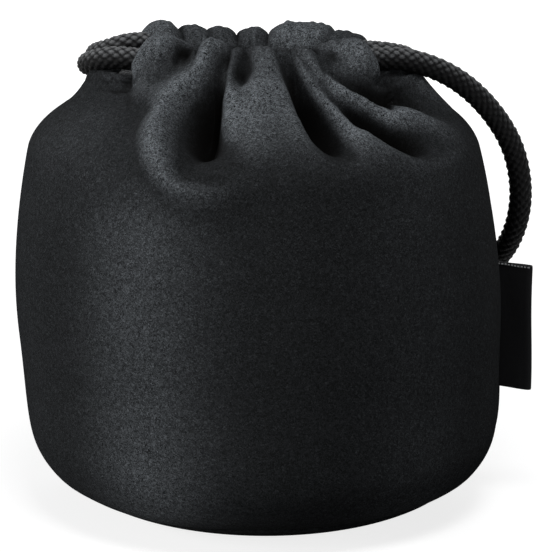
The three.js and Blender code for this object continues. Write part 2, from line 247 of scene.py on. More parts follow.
class Shader:
    """Builds one material around a Principled shader."""

    def __init__(self, name: str) -> None:
        """Starts an empty material.

        Args:
            name: Name of the material.
        """
        self.material = bpy.data.materials.new(name)
        self.material.use_nodes = True
        self.tree = self.material.node_tree
        self.main = self.tree.nodes["Principled BSDF"]

    def node(self, kind: str, inputs: dict, output: Union[int, str] = 0, **settings: object) -> Wire:
        """Adds any node.

        Args:
            kind: Type of the node.
            inputs: Values or wires by socket index or name.
            output: Socket to hand on.
            settings: Properties of the node.

        Returns:
            The chosen output as a wire.
        """
        made = self.tree.nodes.new(kind)
        for key, value in settings.items():
            setattr(made, key, value)
        for key, value in inputs.items():
            self.feed(made.inputs[key], value)
        return Wire(self, made.outputs[output])

    def feed(self, socket: bpy.types.NodeSocket, value: Value) -> None:
        """Links a wire to a socket or sets its constant."""
        if isinstance(value, Wire):
            self.tree.links.new(value.socket, socket)
        else:
            socket.default_value = value

    def set(self, **values: Value) -> None:
        """Feeds sockets of the main shader by name, with _ for a space."""
        for name, value in values.items():
            self.feed(self.main.inputs[name.replace("_", " ")], value)

    def place(self, output: str = "Object", scale: tuple = (1.0, 1.0, 1.0)) -> Wire:
        """Coordinates of the surface, stretched by scale."""
        raw = self.node("ShaderNodeTexCoord", {}, output)
        return self.node("ShaderNodeMapping", {"Vector": raw, "Scale": scale})

    def millimetres(self) -> Wire:
        """Coordinates of the surface in millimetres."""
        return self.place(scale=(1.0 / MM, 1.0 / MM, 1.0 / MM))

    def noise(self, where: Wire, scale: float, detail: float = 2.0, rough: float = 0.5,
              curl: float = 0.0) -> Wire:
        """Noise between 0 and 1, drawn into strings by its curl."""
        inputs = {"Vector": where, "Scale": scale, "Detail": detail, "Roughness": rough, "Distortion": curl}
        return self.node("ShaderNodeTexNoise", inputs, "Fac")

    def tone(self) -> Wire:
        """How light each corner is, from its attribute; on the suede and the cords it carries painted light
        and shade.
        """
        return self.node("ShaderNodeAttribute", {}, "Fac", attribute_name="tone")

    def tint(self, share: Wire, low: Sequence[float], high: Sequence[float]) -> Wire:
        """Colour between two colours."""
        inputs = {0: share, 6: (*low, 1.0), 7: (*high, 1.0)}
        return self.node("ShaderNodeMix", inputs, 2, data_type="RGBA")

    def bump(self, height: Wire, depth: float, strength: float) -> None:
        """Feeds the normal from a height.

        Args:
            height: Height between 0 and 1.
            depth: Height of the relief in millimetres.
            strength: Strength of the bump.
        """
        inputs = {"Height": height, "Distance": depth * MM, "Strength": strength}
        self.set(Normal=self.node("ShaderNodeBump", inputs))


@dataclass(frozen=True)
class Finish:
    """Colours, gloss and relief that every finish has.

    SHARES are the shares that get the low and the high colour. ROUGHER is added to the roughness where
    the noise is high, and STRENGTH is how strong the bump is.
    """

    TONE: ClassVar[float] = 0.5
    SHARES: ClassVar[Pair] = (0.0, 1.0)
    ROUGHER: ClassVar[float] = 0.2
    GLOSS: ClassVar[float] = 0.5
    SHEEN: ClassVar[float] = 0.0
    SHEEN_ROUGHNESS: ClassVar[float] = 0.5
    STRENGTH: ClassVar[float] = 0.6
    low: Point
    high: Point
    roughness: float

    def make(self) -> bpy.types.Material:
        """Builds the material."""
        raise NotImplementedError

    def _feed(self, shader: Shader, share: Wire, fuzz: Wire, height: Wire,
              depth: float) -> bpy.types.Material:
        """Feeds the main shader.

        Args:
            shader: The material's graph.
            share: Share of the high colour.
            fuzz: Noise that roughens the surface.
            height: Height of the relief between 0 and 1.
            depth: Depth of the relief in millimetres.

        Returns:
            The finished material.
        """
        shader.set(Base_Color=shader.tint(share.ramp(*self.SHARES), self.low, self.high),
                   Roughness=fuzz * self.ROUGHER + self.roughness)
        shader.set(Specular_IOR_Level=self.GLOSS, Sheen_Weight=self.SHEEN,
                   Sheen_Roughness=self.SHEEN_ROUGHNESS)
        shader.bump(height, depth, self.STRENGTH)
        return shader.material


@dataclass(frozen=True)
class Suede(Finish):
    """Brushed suede: mottled, with a short nap and brush marks.

    The mottle and the grain have a size in millimetres. Each kind of noise has a share in the speckle,
    which makes the nap lighter and darker, and more so where it is light already.
    """

    TONE: ClassVar[float] = 0.142
    SHARES: ClassVar[Pair] = (0.0, 1.7)
    ROUGHER: ClassVar[float] = 0.12
    GLOSS: ClassVar[float] = 0.0
    SHEEN: ClassVar[float] = 0.012
    STRENGTH: ClassVar[float] = 0.7
    mottle: float = 1.3
    mottle_share: float = 0.2
    grain: float = 0.42
    grain_share: float = 1.85
    grain_curl: float = 1.6
    brush: float = 0.22
    brush_scale: Point = (300.0, 300.0, 900.0)
    brush_share: float = 0.15
    contrast: float = 2.0
    contrast_of_light: float = 2.4
    sparkle: float = 3.0
    evenness: float = 0.97
    depth: float = 0.2

    def make(self) -> bpy.types.Material:
        """Builds the material: the tone attribute carries the painted light and shade of the panels."""
        shader = Shader("suede")
        where = shader.millimetres()
        mottle = shader.noise(where, 1.0 / self.mottle, 2.0, 0.6)
        grain = shader.noise(where, 1.0 / self.grain, 2.0, 0.6, self.grain_curl)
        brushed = shader.noise(shader.place(scale=self.brush_scale), self.brush, 4.0, 0.62)
        middle = (self.mottle_share + self.grain_share + self.brush_share) / 2
        speckle = (mottle * self.mottle_share + grain * self.grain_share + brushed * self.brush_share
                   - middle)
        # Painted light and shade of the panels, given per corner.
        tone = shader.tone()
        contrast = tone * self.contrast_of_light + self.contrast
        share = tone * (speckle * contrast + speckle * speckle * self.sparkle + self.evenness)
        return self._feed(shader, share, mottle, mottle * 0.25 + grain * 0.8, self.depth)


@dataclass(frozen=True)
class Braid(Finish):
    """Filaments of a braided cord, with painted highlights on the strands' crowns and painted shade between
    them and underneath.
    """

    SHARES: ClassVar[Pair] = (0.12, 0.85)
    GLOSS: ClassVar[float] = 0.08
    filaments: float = 46.0
    fuzz_scale: float = 2.4
    fibre_share: float = 0.35
    fuzz_share: float = 1.2
    depth: float = 0.08

    def make(self) -> bpy.types.Material:
        """Builds the material."""
        shader = Shader("cord")
        uv = shader.node("ShaderNodeTexCoord", {}, "UV")
        across = shader.node("ShaderNodeSeparateXYZ", {"Vector": uv}, "X")
        fibre = (across * (2 * math.pi * self.filaments)).sine() * 0.5 + 0.5
        fuzz = shader.noise(shader.millimetres(), self.fuzz_scale, 3.0, 0.65)
        # Painted highlights on the crowns, painted shade in the gaps and on the underside.
        crown = shader.tone()
        share = crown * crown * (fibre * self.fibre_share + fuzz * self.fuzz_share)
        return self._feed(shader, share, fuzz, fibre * 0.6 + fuzz * 0.5, self.depth)


@dataclass(frozen=True)
class Woven(Finish):
    """Woven ribbon or knit with fine rows in its UV, which is in millimetres."""

    SHARES: ClassVar[Pair] = (0.25, 0.85)
    GLOSS: ClassVar[float] = 0.04
    SHEEN: ClassVar[float] = 0.06
    SHEEN_ROUGHNESS: ClassVar[float] = 0.4
    pitch: float = 0.35
    depth: float = 0.08
    name: str = "label"
    fuzz_scale: float = 1.6

    def make(self) -> bpy.types.Material:
        """Builds the material."""
        shader = Shader(self.name)
        uv = shader.node("ShaderNodeTexCoord", {}, "UV")
        across, along = (shader.node("ShaderNodeSeparateXYZ", {"Vector": uv}, axis) for axis in "XY")
        turn = 2 * math.pi / self.pitch
        weave = (across * turn).sine() * (along * turn).sine() * 0.5 + 0.5
        fuzz = shader.noise(shader.millimetres(), self.fuzz_scale, 3.0, 0.6)
        return self._feed(shader, weave * 0.5 + fuzz * 0.5, fuzz, weave * 0.8 + fuzz * 0.2, self.depth)


@dataclass(frozen=True)
class Foam(Finish):
    """Open cells of the padding, with their size and depth in millimetres."""

    SHARES: ClassVar[Pair] = (0.1, 0.7)
    ROUGHER: ClassVar[float] = 0.1
    cell: float = 0.8
    depth: float = 0.3

    def make(self) -> bpy.types.Material:
        """Builds the material."""
        shader = Shader("padding")
        inputs = {"Vector": shader.millimetres(), "Scale": 1.0 / self.cell}
        cells = shader.node("ShaderNodeTexVoronoi", inputs)
        return self._feed(shader, cells, cells, cells, self.depth)


THREAD = Woven((0.16, 0.165, 0.17), (0.34, 0.345, 0.35), 0.7, 0.2, 0.04, "thread")
FINISHES: dict[Coat, Finish] = {
    Coat.SUEDE: Suede((0.0017, 0.0014, 0.0011), (0.152, 0.165, 0.178), 0.84),
    Coat.PADDING: Foam((0.04, 0.04, 0.039), (0.09, 0.09, 0.087), 0.9),
    Coat.LINING: Woven((0.010, 0.010, 0.011), (0.030, 0.030, 0.033), 0.6, 0.6, 0.08, "lining"),
    Coat.CORD: Braid((0.0015, 0.0015, 0.0017), (0.118, 0.121, 0.125), 0.5),
    Coat.LABEL: Woven((0.004, 0.004, 0.0045), (0.013, 0.013, 0.014), 0.5),
}


def placed(name: str, data: bpy.types.ID) -> bpy.types.Object:
    """A new object of the scene."""
    made = bpy.data.objects.new(name, data)
    bpy.context.scene.collection.objects.link(made)
    return made


class Wardrobe:
    """Makes each finish once and makes meshes that wear them."""

    def __init__(self) -> None:
        """Builds every finish."""
        self.made = {coat: finish.make() for coat, finish in FINISHES.items()}
        self.thread = THREAD.make()

    def mesh(self, name: str, coat: Coat, points: Array, faces: Array,
             uv: Union[Array, None] = None, tone: Union[Array, None] = None) -> bpy.types.Object:
        """Makes a smooth object at the origin from points in millimetres.

        Args:
            name: Name of the object.
            coat: Finish that it wears.
            points: Corners in millimetres.
            faces: Corner numbers of its quads or triangles.
            uv: Texture place of each corner.
            tone: How light each corner is, from 0 to about 1; on the suede and the cords it carries painted
                light and shade.

        Returns:
            The new object.
        """
        data = bpy.data.meshes.new(name)
        data.from_pydata((points * MM).tolist(), [], faces.tolist())
        data.validate()
        if uv is not None:
            layer = data.uv_layers.new(name="UVMap")
            corners = np.empty(len(data.loops), dtype=np.int32)
            data.loops.foreach_get("vertex_index", corners)
            layer.data.foreach_set("uv", uv[corners].astype(np.float32).ravel())
        light = np.full(len(points), FINISHES[coat].TONE) if tone is None else tone
        data.attributes.new("tone", "FLOAT", "POINT").data.foreach_set("value", light.astype(np.float32))
        data.polygons.foreach_set("use_smooth", [True] * len(data.polygons))
        data.materials.append(self.made[coat])
        data.update()
        made = placed(name, data)
        log.info("%s: %d faces", name, len(data.polygons))
        return made


def grid_faces(rows: int, columns: int, wrap: bool = False, flip: bool = False) -> Array:
    """Quads of a grid whose points are numbered row by row.

    Args:
        rows: Number of rows of points.
        columns: Number of points in a row.
        wrap: Joins the last point of a row to its first.
        flip: Turns the faces round.

    Returns:
        Four corner numbers for each quad.
    """
    last = columns if wrap else columns - 1
    row, column = np.meshgrid(np.arange(rows - 1), np.arange(last), indexing="ij")
    after = (column + 1) % columns
    quads = np.stack([row * columns + column, row * columns + after,
                      (row + 1) * columns + after, (row + 1) * columns + column], axis=-1)
    quads = quads.reshape(-1, 4)
    return quads[:, ::-1] if flip else quads


# The shape of the filled pouch


@dataclass(frozen=True)
class PouchSize:
    """Driving sizes of the body in millimetres, as the solids have them."""

    foot_radius: float = 25.0
    heel_height: float = 16.0
    heel_radius: float = 46.2
    heel_fullness: float = 1.75
    waist_height: float = 46.0
    waist_radius: float = 48.1
    shoulder_height: float = 72.0
    shoulder_radius: float = 44.7
    lean: float = -0.035
    base_seam: float = 0.4
    swell_height: float = 7.25
    knee_share: float = 0.46
    knee_height: float = 9.75
    knee_pinch: float = 0.27
    knee_drop: float = 1.0
    channel_half_length: float = 23.5
    channel_height: float = 15.8
    channel_end_height: float = 0.8
    channel_end_offset: float = 6.45
    mouth_half_gap: float = 2.9
    back_tilt: float = 1.0
    collar_half_length: float = 31.0
    collar_half_depth: float = 13.4
    collar_edge_height: float = 13.6
    collar_left_height: float = 15.2
    collar_right_height: float = 16.8
    hem_radius: float = 5.3
    edge_radius: float = 1.4


Stage = tuple[float, float, float]


class Drape:
    """Cloth stretched like a membrane between ridge and valley lines, then rounded.

    Each stage of a line is (place, row band, height in millimetres over the plain shell). Places
    run from 0 at the left seam to 1 at the right one, and a line of zeros holds the cloth still. ACROSS
    and ALONG are the cloth's lengths over all places and over one band. STEPS points hold a stretch of
    a line, PASSES stretch the membrane and WIDE passes even it out, which tells what stands over the rest.
    """

    PLACES = np.linspace(0.0, 1.0, 201)
    BANDS = np.linspace(-1.2, 2.4, 169)
    ACROSS = 90.0
    ALONG = 17.0
    STEPS = 160
    PASSES = 3000
    WIDE = 160

    def __init__(self, lines: Sequence[Sequence[Stage]], rounding: int = 7) -> None:
        """Stretches the membrane.

        Args:
            lines: Ridges and valleys.
            rounding: Number of passes that round the creases.
        """
        held = np.zeros((len(self.BANDS), len(self.PLACES)), bool)
        height = np.zeros(held.shape)
        for line in lines:
            for low, high in zip(line, line[1:]):
                share = np.linspace(0.0, 1.0, self.STEPS)[:, None]
                run = mix(np.array(low), np.array(high), share)
                i = np.abs(self.BANDS[:, None] - run[:, 1]).argmin(axis=0)
                j = np.abs(self.PLACES[:, None] - run[:, 0]).argmin(axis=0)
                held[i, j] = True
                height[i, j] = run[:, 2]
        held[[0, -1], :] = True
        held[:, [0, -1]] = True
        du = self.ACROSS * (self.PLACES[1] - self.PLACES[0])
        dv = self.ALONG * (self.BANDS[1] - self.BANDS[0])
        wu, wv = 1.0 / du ** 2, 1.0 / dv ** 2
        wu, wv = wu / (wu + wv) / 2, wv / (wu + wv) / 2
        free = ~held[1:-1, 1:-1]
        for _ in range(self.PASSES):
            mean = (wu * (height[1:-1, 2:] + height[1:-1, :-2])
                    + wv * (height[2:, 1:-1] + height[:-2, 1:-1]))
            height[1:-1, 1:-1] = np.where(free, mean, height[1:-1, 1:-1])
        self.height = self._blurred(height, rounding)

    @staticmethod
    def _blurred(height: Array, passes: int) -> Array:
        """The same heights, softer."""
        soft = height.copy()
        for _ in range(passes):
            soft[1:-1, :] = (soft[:-2, :] + 2 * soft[1:-1, :] + soft[2:, :]) / 4
            soft[:, 1:-1] = (soft[:, :-2] + 2 * soft[:, 1:-1] + soft[:, 2:]) / 4
        return soft

    def _read(self, chart: Array, place: Array, row: Array) -> Array:
        """Values of a chart at places of columns and bands of rows."""
        across = np.stack([np.interp(place, self.PLACES, line) for line in chart])
        return np.stack([np.interp(row, self.BANDS, line) for line in across.T], axis=1)

    def relief(self, place: Array, row: Array) -> Array:
        """Heights over the plain shell.

        Args:
            place: Places of the columns.
            row: Bands of the rows.

        Returns:
            Outward moves in millimetres, one row for each band.
        """
        return self._read(self.height, place, row)

    def ridges(self, place: Array, row: Array) -> Array:
        """How far each place stands over the cloth round it, in millimetres."""
        return self._read(self.height - self._blurred(self.height, self.WIDE), place, row)


@dataclass(frozen=True)
class Lobe:
    """A puff of the hem between two creases: how far it stands up and out.

    Its swell upwards runs UP_RATE times and its swell outwards OUT_RATE times as fast as the hem turns.
    """

    UP_RATE: ClassVar[float] = 1.15
    UP_FLATNESS: ClassVar[float] = 0.8
    OUT_RATE: ClassVar[float] = 2.2
    UNDER_HEM: ClassVar[Pair] = (1.1, 2.0)
    WIDTH_FLATNESS: ClassVar[float] = 2.4
    left: float
    right: float
    up: float
    out: float
    steep: float = 0.6

    def relief(self, place: Array, row: Array) -> Array:
        """How far the puff swells the hem and the cloth just under it."""
        turn = np.clip(row - 2.0, 0.0, 1.0)
        up = np.sin(np.clip(turn * self.UP_RATE, 0.0, 1.0) * math.pi) ** self.UP_FLATNESS
        out = np.cos(np.clip(turn * self.OUT_RATE, 0.0, 1.0) * math.pi / 2) * smooth(*self.UNDER_HEM, row)
        away = np.abs(2.0 * (place - self.left) / (self.right - self.left) - 1.0)
        puff = np.maximum(1.0 - away ** self.WIDTH_FLATNESS, 0.0) ** self.steep
        return puff * (self.up * up + self.out * out)


@dataclass(frozen=True)
class Patch:
    """A soft patch that paints light on the shoulder and shade in a dent: its middle, how strong it is and
    how far it reaches.
    """

    place: float
    band: float
    strength: float
    wide: float = 0.016
    tall: float = 0.07

    def at(self, place: Array, row: Array) -> Array:
        """Strength of the patch at places of columns and bands of rows."""
        across, along = (place - self.place) / self.wide, (row - self.band) / self.tall
        return self.strength * np.exp(-across ** 2 - along ** 2)


@dataclass(frozen=True)
class Ripple:
    """Noise over a panel in millimetres: its waves across and along, its slant and where it starts."""

    height: float
    across: float
    along: float
    slant: float = 0.0
    start: Pair = (0.0, 0.0)

    def at(self, grain: Grain, place: Array, row: Array) -> Array:
        """Heights at places of columns and bands of rows."""
        u = place * self.across + row * self.slant + self.start[0]
        return grain.at(u, row * self.along + self.start[1]) * self.height


@dataclass(frozen=True)
class Gathers:
    """Everything that shapes the gathered neck of one panel.

    The fill is (place, share): how straight the cloth climbs to the hem there. The lines are the
    ridges and valleys of a Drape. The sways are lines of another one, which push cloth sideways over
    its neighbour, to the right where they are over 0. The hollows are dents in the puffs that get
    painted shade.
    """

    fill: tuple[Pair, ...]
    lines: tuple[tuple[Stage, ...], ...]
    lobes: tuple[Lobe, ...]
    sways: tuple[tuple[Stage, ...], ...] = ()
    # Dents of the puffs that get painted shade.
    shaded_hollows: tuple[Patch, ...] = ()


FRONT_GATHERS = Gathers(
    fill=((0.0, 0.2), (0.12, 0.3), (0.24, 0.4), (0.33, 0.75), (0.42, 1.0), (0.66, 1.0), (0.74, 0.75),
          (0.82, 0.45), (0.92, 0.3), (1.0, 0.2)),
    lines=(
        ((0.415, 2.17, 0.2), (0.400, 2.05, 0.6), (0.392, 1.89, 1.4), (0.362, 1.66, 2.4),
         (0.343, 1.40, 3.2), (0.338, 1.07, 4.2), (0.348, 0.79, 4.3), (0.362, 0.50, 4.0),
         (0.383, 0.22, 3.4), (0.405, 0.05, 2.8), (0.435, 0.00, 1.8), (0.468, 0.10, 1.2),
         (0.492, 0.40, 1.0)),
        ((0.452, 2.38, -0.2), (0.451, 2.22, -0.5), (0.450, 2.05, -0.7), (0.446, 1.84, -3.0),
         (0.442, 1.54, -8.5), (0.438, 1.27, -9.8), (0.434, 1.04, -7.4), (0.427, 0.84, -3.2),
         (0.417, 0.62, -0.8), (0.408, 0.38, 0.6), (0.404, 0.20, 1.2)),
        ((0.453, 1.14, -1.8), (0.464, 0.95, -0.2)),
        ((0.458, 2.10, 0.2), (0.457, 1.84, 0.8), (0.457, 1.57, 1.8), (0.459, 1.27, 2.2),
         (0.468, 1.02, 1.6)),
        ((0.522, 2.03, 0.3), (0.517, 1.75, 1.6), (0.510, 1.41, 2.8), (0.505, 1.04, 2.8),
         (0.503, 0.66, 1.8)),
        ((0.568, 2.10, 0.0), (0.565, 1.84, 0.6), (0.564, 1.57, 1.4), (0.567, 1.27, 1.8),
         (0.574, 1.03, 1.8), (0.592, 0.72, 1.2), (0.615, 0.46, 0.9), (0.642, 0.36, 0.9),
         (0.664, 0.40, 1.2)),
        ((0.583, 2.38, -0.2), (0.584, 2.22, -0.5), (0.585, 2.05, -0.7), (0.586, 1.84, -3.4),
         (0.592, 1.59, -8.0), (0.600, 1.32, -9.6), (0.610, 1.14, -7.4), (0.622, 0.92, -4.0),
         (0.636, 0.72, -1.6), (0.647, 0.56, 0.0)),
        ((0.608, 2.10, 0.2), (0.620, 1.91, 0.8), (0.640, 1.62, 1.0), (0.662, 1.36, 1.2),
         (0.676, 1.14, 1.6), (0.678, 0.89, 1.8), (0.670, 0.57, 1.6)),
        ((0.617, 2.34, -0.2), (0.618, 2.20, -0.4), (0.620, 2.05, -0.6), (0.636, 1.91, -1.5),
         (0.660, 1.62, -2.4), (0.682, 1.45, -3.0), (0.692, 1.32, -3.6)),
        ((0.635, 2.10, 0.2), (0.650, 1.93, 1.0), (0.667, 1.73, 1.4), (0.697, 1.52, 1.8),
         (0.750, 1.16, 2.2), (0.800, 0.79, 2.4), (0.840, 0.55, 2.0), (0.885, 0.32, 1.0)),
        ((0.692, 1.36, -4.4), (0.713, 1.18, -8.5), (0.743, 0.84, -8.0), (0.774, 0.52, -4.4),
         (0.808, 0.30, -1.0)),
        ((0.489, 2.10, -0.3), (0.489, 1.94, -2.2), (0.488, 1.78, -3.2), (0.487, 1.66, 0.2),
         (0.486, 1.58, 1.4)),
        ((0.695, 1.02, 0.8), (0.723, 0.62, 0.7), (0.753, 0.32, 0.7), (0.806, 0.12, 0.8), (0.85, 0.12, 0.9)),
        ((0.668, 2.38, -0.2), (0.668, 2.20, -0.5), (0.667, 2.00, -0.9), (0.667, 1.90, -1.6),
         (0.680, 1.78, -2.6), (0.715, 1.64, -3.6), (0.775, 1.44, -5.0), (0.838, 0.98, -4.0),
         (0.885, 0.70, -1.2)),
        ((0.905, 1.60, 0.8), (0.94, 0.95, 1.4), (0.955, 0.55, 0.6)),
        ((0.17, 1.15, 0.0), (0.23, 0.61, 0.0), (0.263, 0.16, 0.0)),
        ((0.312, 1.30, 0.8), (0.296, 1.00, 0.4), (0.304, 0.68, 0.3), (0.326, 0.30, 0.1),
         (0.352, 0.02, 0.0), (0.395, -0.24, 0.0), (0.450, -0.26, 0.0), (0.500, -0.16, 0.2)),
        ((0.215, 1.98, -0.6), (0.275, 1.80, -2.2), (0.330, 1.86, -2.4), (0.360, 2.0, -1.2),
         (0.368, 2.2, -0.6), (0.370, 2.36, -0.2)),
        ((0.696, 2.03, -0.9), (0.708, 2.00, -1.5), (0.722, 2.02, -1.0)),
        ((0.328, 2.22, -3.6), (0.335, 2.06, -4.0)),
        ((0.352, 2.22, -3.2), (0.350, 2.06, -4.0)),
        ((0.10, -0.60, 0.0), (0.40, -0.95, 0.0), (0.62, -0.80, 0.0), (0.90, -0.60, 0.0)),
    ),
    lobes=(Lobe(0.205, 0.367, 2.6, 2.0), Lobe(0.367, 0.452, 2.0, 1.0), Lobe(0.452, 0.489, 0.5, 0.8),
           Lobe(0.489, 0.567, 0.2, 1.0), Lobe(0.567, 0.605, 0.2, 0.6), Lobe(0.605, 0.668, 0.4, 0.5),
           Lobe(0.668, 0.83, 0.8, 2.2)),
    sways=(
        ((0.362, 1.66, 0.0), (0.343, 1.40, 0.0), (0.338, 1.07, 0.0), (0.362, 0.50, 0.0)),
        ((0.446, 1.84, 0.0), (0.440, 1.54, 0.0), (0.432, 1.27, 0.0), (0.420, 1.04, 0.0),
         (0.402, 0.80, 0.0)),
        ((0.458, 2.00, 0.0), (0.457, 1.84, -0.8), (0.457, 1.57, -1.5), (0.459, 1.27, -1.5),
         (0.468, 1.02, -0.7), (0.478, 0.80, 0.0)),
        ((0.522, 2.03, 0.0), (0.517, 1.75, 0.0), (0.510, 1.41, 0.0), (0.505, 1.04, 0.0),
         (0.503, 0.66, 0.0)),
        ((0.568, 2.00, 0.0), (0.565, 1.84, 0.8), (0.564, 1.57, 2.0), (0.567, 1.27, 2.6),
         (0.574, 1.03, 2.2), (0.592, 0.72, 1.0), (0.615, 0.46, 0.0)),
        ((0.585, 1.84, 0.0), (0.590, 1.59, 0.0), (0.597, 1.32, 0.0), (0.606, 1.14, 0.0),
         (0.640, 0.66, 0.0)),
    ),
    # Painted shade in dents of the puffs.
    shaded_hollows=(Patch(0.338, 2.14, 0.6), Patch(0.696, 1.98, 0.8), Patch(0.489, 1.84, 0.7)),
)
BACK_GATHERS = Gathers(
    fill=((0.0, 0.2), (0.12, 0.3), (0.28, 0.8), (0.5, 1.0), (0.72, 0.8), (0.9, 0.3), (1.0, 0.2)),
    lines=(
        ((0.19, 1.75, -0.6), (0.17, 1.40, -3.0), (0.15, 1.00, -3.4), (0.13, 0.50, 0.0)),
        ((0.315, 2.00, -0.5), (0.312, 1.45, -5.6), (0.302, 1.10, -8.0), (0.288, 0.70, -4.0),
         (0.28, 0.30, 0.0)),
        ((0.388, 2.00, -0.4), (0.386, 1.60, -2.6), (0.380, 1.25, -0.6)),
        ((0.465, 2.00, -0.5), (0.462, 1.45, -6.2), (0.455, 1.05, -9.0), (0.450, 0.66, -4.2),
         (0.45, 0.25, 0.0)),
        ((0.550, 2.00, -0.4), (0.558, 1.45, -4.4), (0.575, 1.05, -5.0), (0.590, 0.60, -0.6)),
        ((0.690, 1.90, -0.6), (0.700, 1.40, -6.4), (0.712, 1.05, -7.8), (0.730, 0.66, -3.4),
         (0.74, 0.28, 0.0)),
        ((0.815, 1.75, -0.6), (0.825, 1.45, -3.4), (0.840, 1.00, -3.6), (0.86, 0.48, 0.0)),
        ((0.25, 1.95, 0.4), (0.24, 1.40, 2.2), (0.23, 0.80, 1.6), (0.22, 0.30, 0.4)),
        ((0.42, 1.95, 0.4), (0.415, 1.40, 2.2), (0.400, 0.80, 1.8), (0.39, 0.30, 0.6)),
        ((0.50, 1.95, 0.3), (0.51, 1.40, 1.8), (0.52, 0.80, 1.6), (0.52, 0.30, 0.6)),
        ((0.62, 1.95, 0.5), (0.63, 1.40, 2.4), (0.65, 0.80, 1.8), (0.66, 0.30, 0.6)),
        ((0.76, 1.80, 0.4), (0.77, 1.40, 1.8), (0.79, 0.80, 1.4), (0.80, 0.30, 0.2)),
        ((0.06, -0.60, 0.0), (0.50, -0.80, 0.0), (0.94, -0.60, 0.0)),
    ),
    lobes=(Lobe(0.18, 0.315, 1.2, 1.6), Lobe(0.315, 0.388, 1.0, 1.4), Lobe(0.388, 0.465, 0.1, 1.2),
           Lobe(0.465, 0.55, 0.3, 1.2), Lobe(0.55, 0.715, 1.9, 2.0), Lobe(0.655, 0.82, 0.6, 1.2, 1.4)),
)


class PouchShape:
    """Points of the pouch's surface before its folds, and of the channels in its hems.

    STEP is the small way over which a direction is measured.
    """

    STEP = 1e-3

    def __init__(self, size: PouchSize = PouchSize()) -> None:
        """Keeps the sizes and the noise that roughens the cloth."""
        self.size = size
        self.slow = Grain(11)
        self.fine = Grain(23)

    def wall(self, share: Array, depth: float = 0.0) -> tuple[Array, Array]:
        """Section of the wall, sunk square to its surface.

        Args:
            share: 0 to 1 is the heel and 1 to 2 the wall.
            depth: Depth under the surface.

        Returns:
            Radius and height.
        """
        radius, height = self._section(share)
        r1, z1 = self._section(share + self.STEP)
        r0, z0 = self._section(np.maximum(share - self.STEP, 0.0))
        length = np.hypot(r1 - r0, z1 - z0)
        return radius - depth * (z1 - z0) / length, height + depth * (r1 - r0) / length

    def _section(self, share: Array) -> tuple[Array, Array]:
        """Radius and height of the outer surface."""
        s = self.size
        share = np.asarray(share, float)
        angle = np.clip(share, 0.0, 1.0) * math.pi / 2
        power = 2.0 / s.heel_fullness
        heel_r = s.foot_radius + (s.heel_radius - s.foot_radius) * np.sin(angle) ** power
        heel_z = s.heel_height * (1.0 - np.maximum(np.cos(angle), 0.0) ** power)
        z = mix(s.heel_height, s.shoulder_height, share - 1.0)
        a, b, c = s.heel_height, s.waist_height, s.shoulder_height
        wall_r = (s.heel_radius * (z - b) * (z - c) / ((a - b) * (a - c))
                  + s.waist_radius * (z - a) * (z - c) / ((b - a) * (b - c))
                  + s.shoulder_radius * (z - a) * (z - b) / ((c - a) * (c - b)))
        low = share < 1.0
        return np.where(low, heel_r, wall_r), np.where(low, heel_z, z)

    def lean(self, points: Array) -> Array:
        """Leans upright points as the filled pouch leans."""
        points = points.copy()
        points[..., 0] += self.size.lean * points[..., 2]
        return points

    def channel(self, share: Array, side: Side) -> Array:
        """Middle of a hem channel, from its right end at 0 to its left end at 1."""
        s = self.size
        across = 1.0 - 2.0 * np.asarray(share, float)
        tilt = s.back_tilt * across if side is Side.BACK else 0.0
        return np.stack([
            s.channel_half_length * across,
            side.value * (s.channel_end_offset + s.mouth_half_gap * (1.0 - across ** 2)),
            s.shoulder_height + s.channel_height + s.channel_end_height * across ** 2 - tilt,
        ], axis=-1)

    def beside_channel(self, share: Array, side: Side, turn: Array, radius: float) -> Array:
        """Leaning points round a channel: turn 0 is outwards and a quarter turn is up."""
        share = np.asarray(share, float)
        along = self.channel(share + self.STEP, side) - self.channel(share - self.STEP, side)
        out = np.stack([-along[..., 1], along[..., 0], np.zeros_like(share)], axis=-1)
        out /= np.linalg.norm(out, axis=-1)[..., None]
        out *= np.sign(out[..., 1:2]) * side.value
        turn = np.asarray(turn, float)[..., None]
        return self.lean(self.channel(share, side) + radius * (np.cos(turn) * out + np.sin(turn) * UP))


@dataclass
class SkinGrid:
    """How finely a skin is cut: columns round it and rows of each of its bands."""

    columns: int = 400
    heel: int = 20
    wall: int = 40
    neck: int = 56
    rise: int = 56
    hem: int = 64


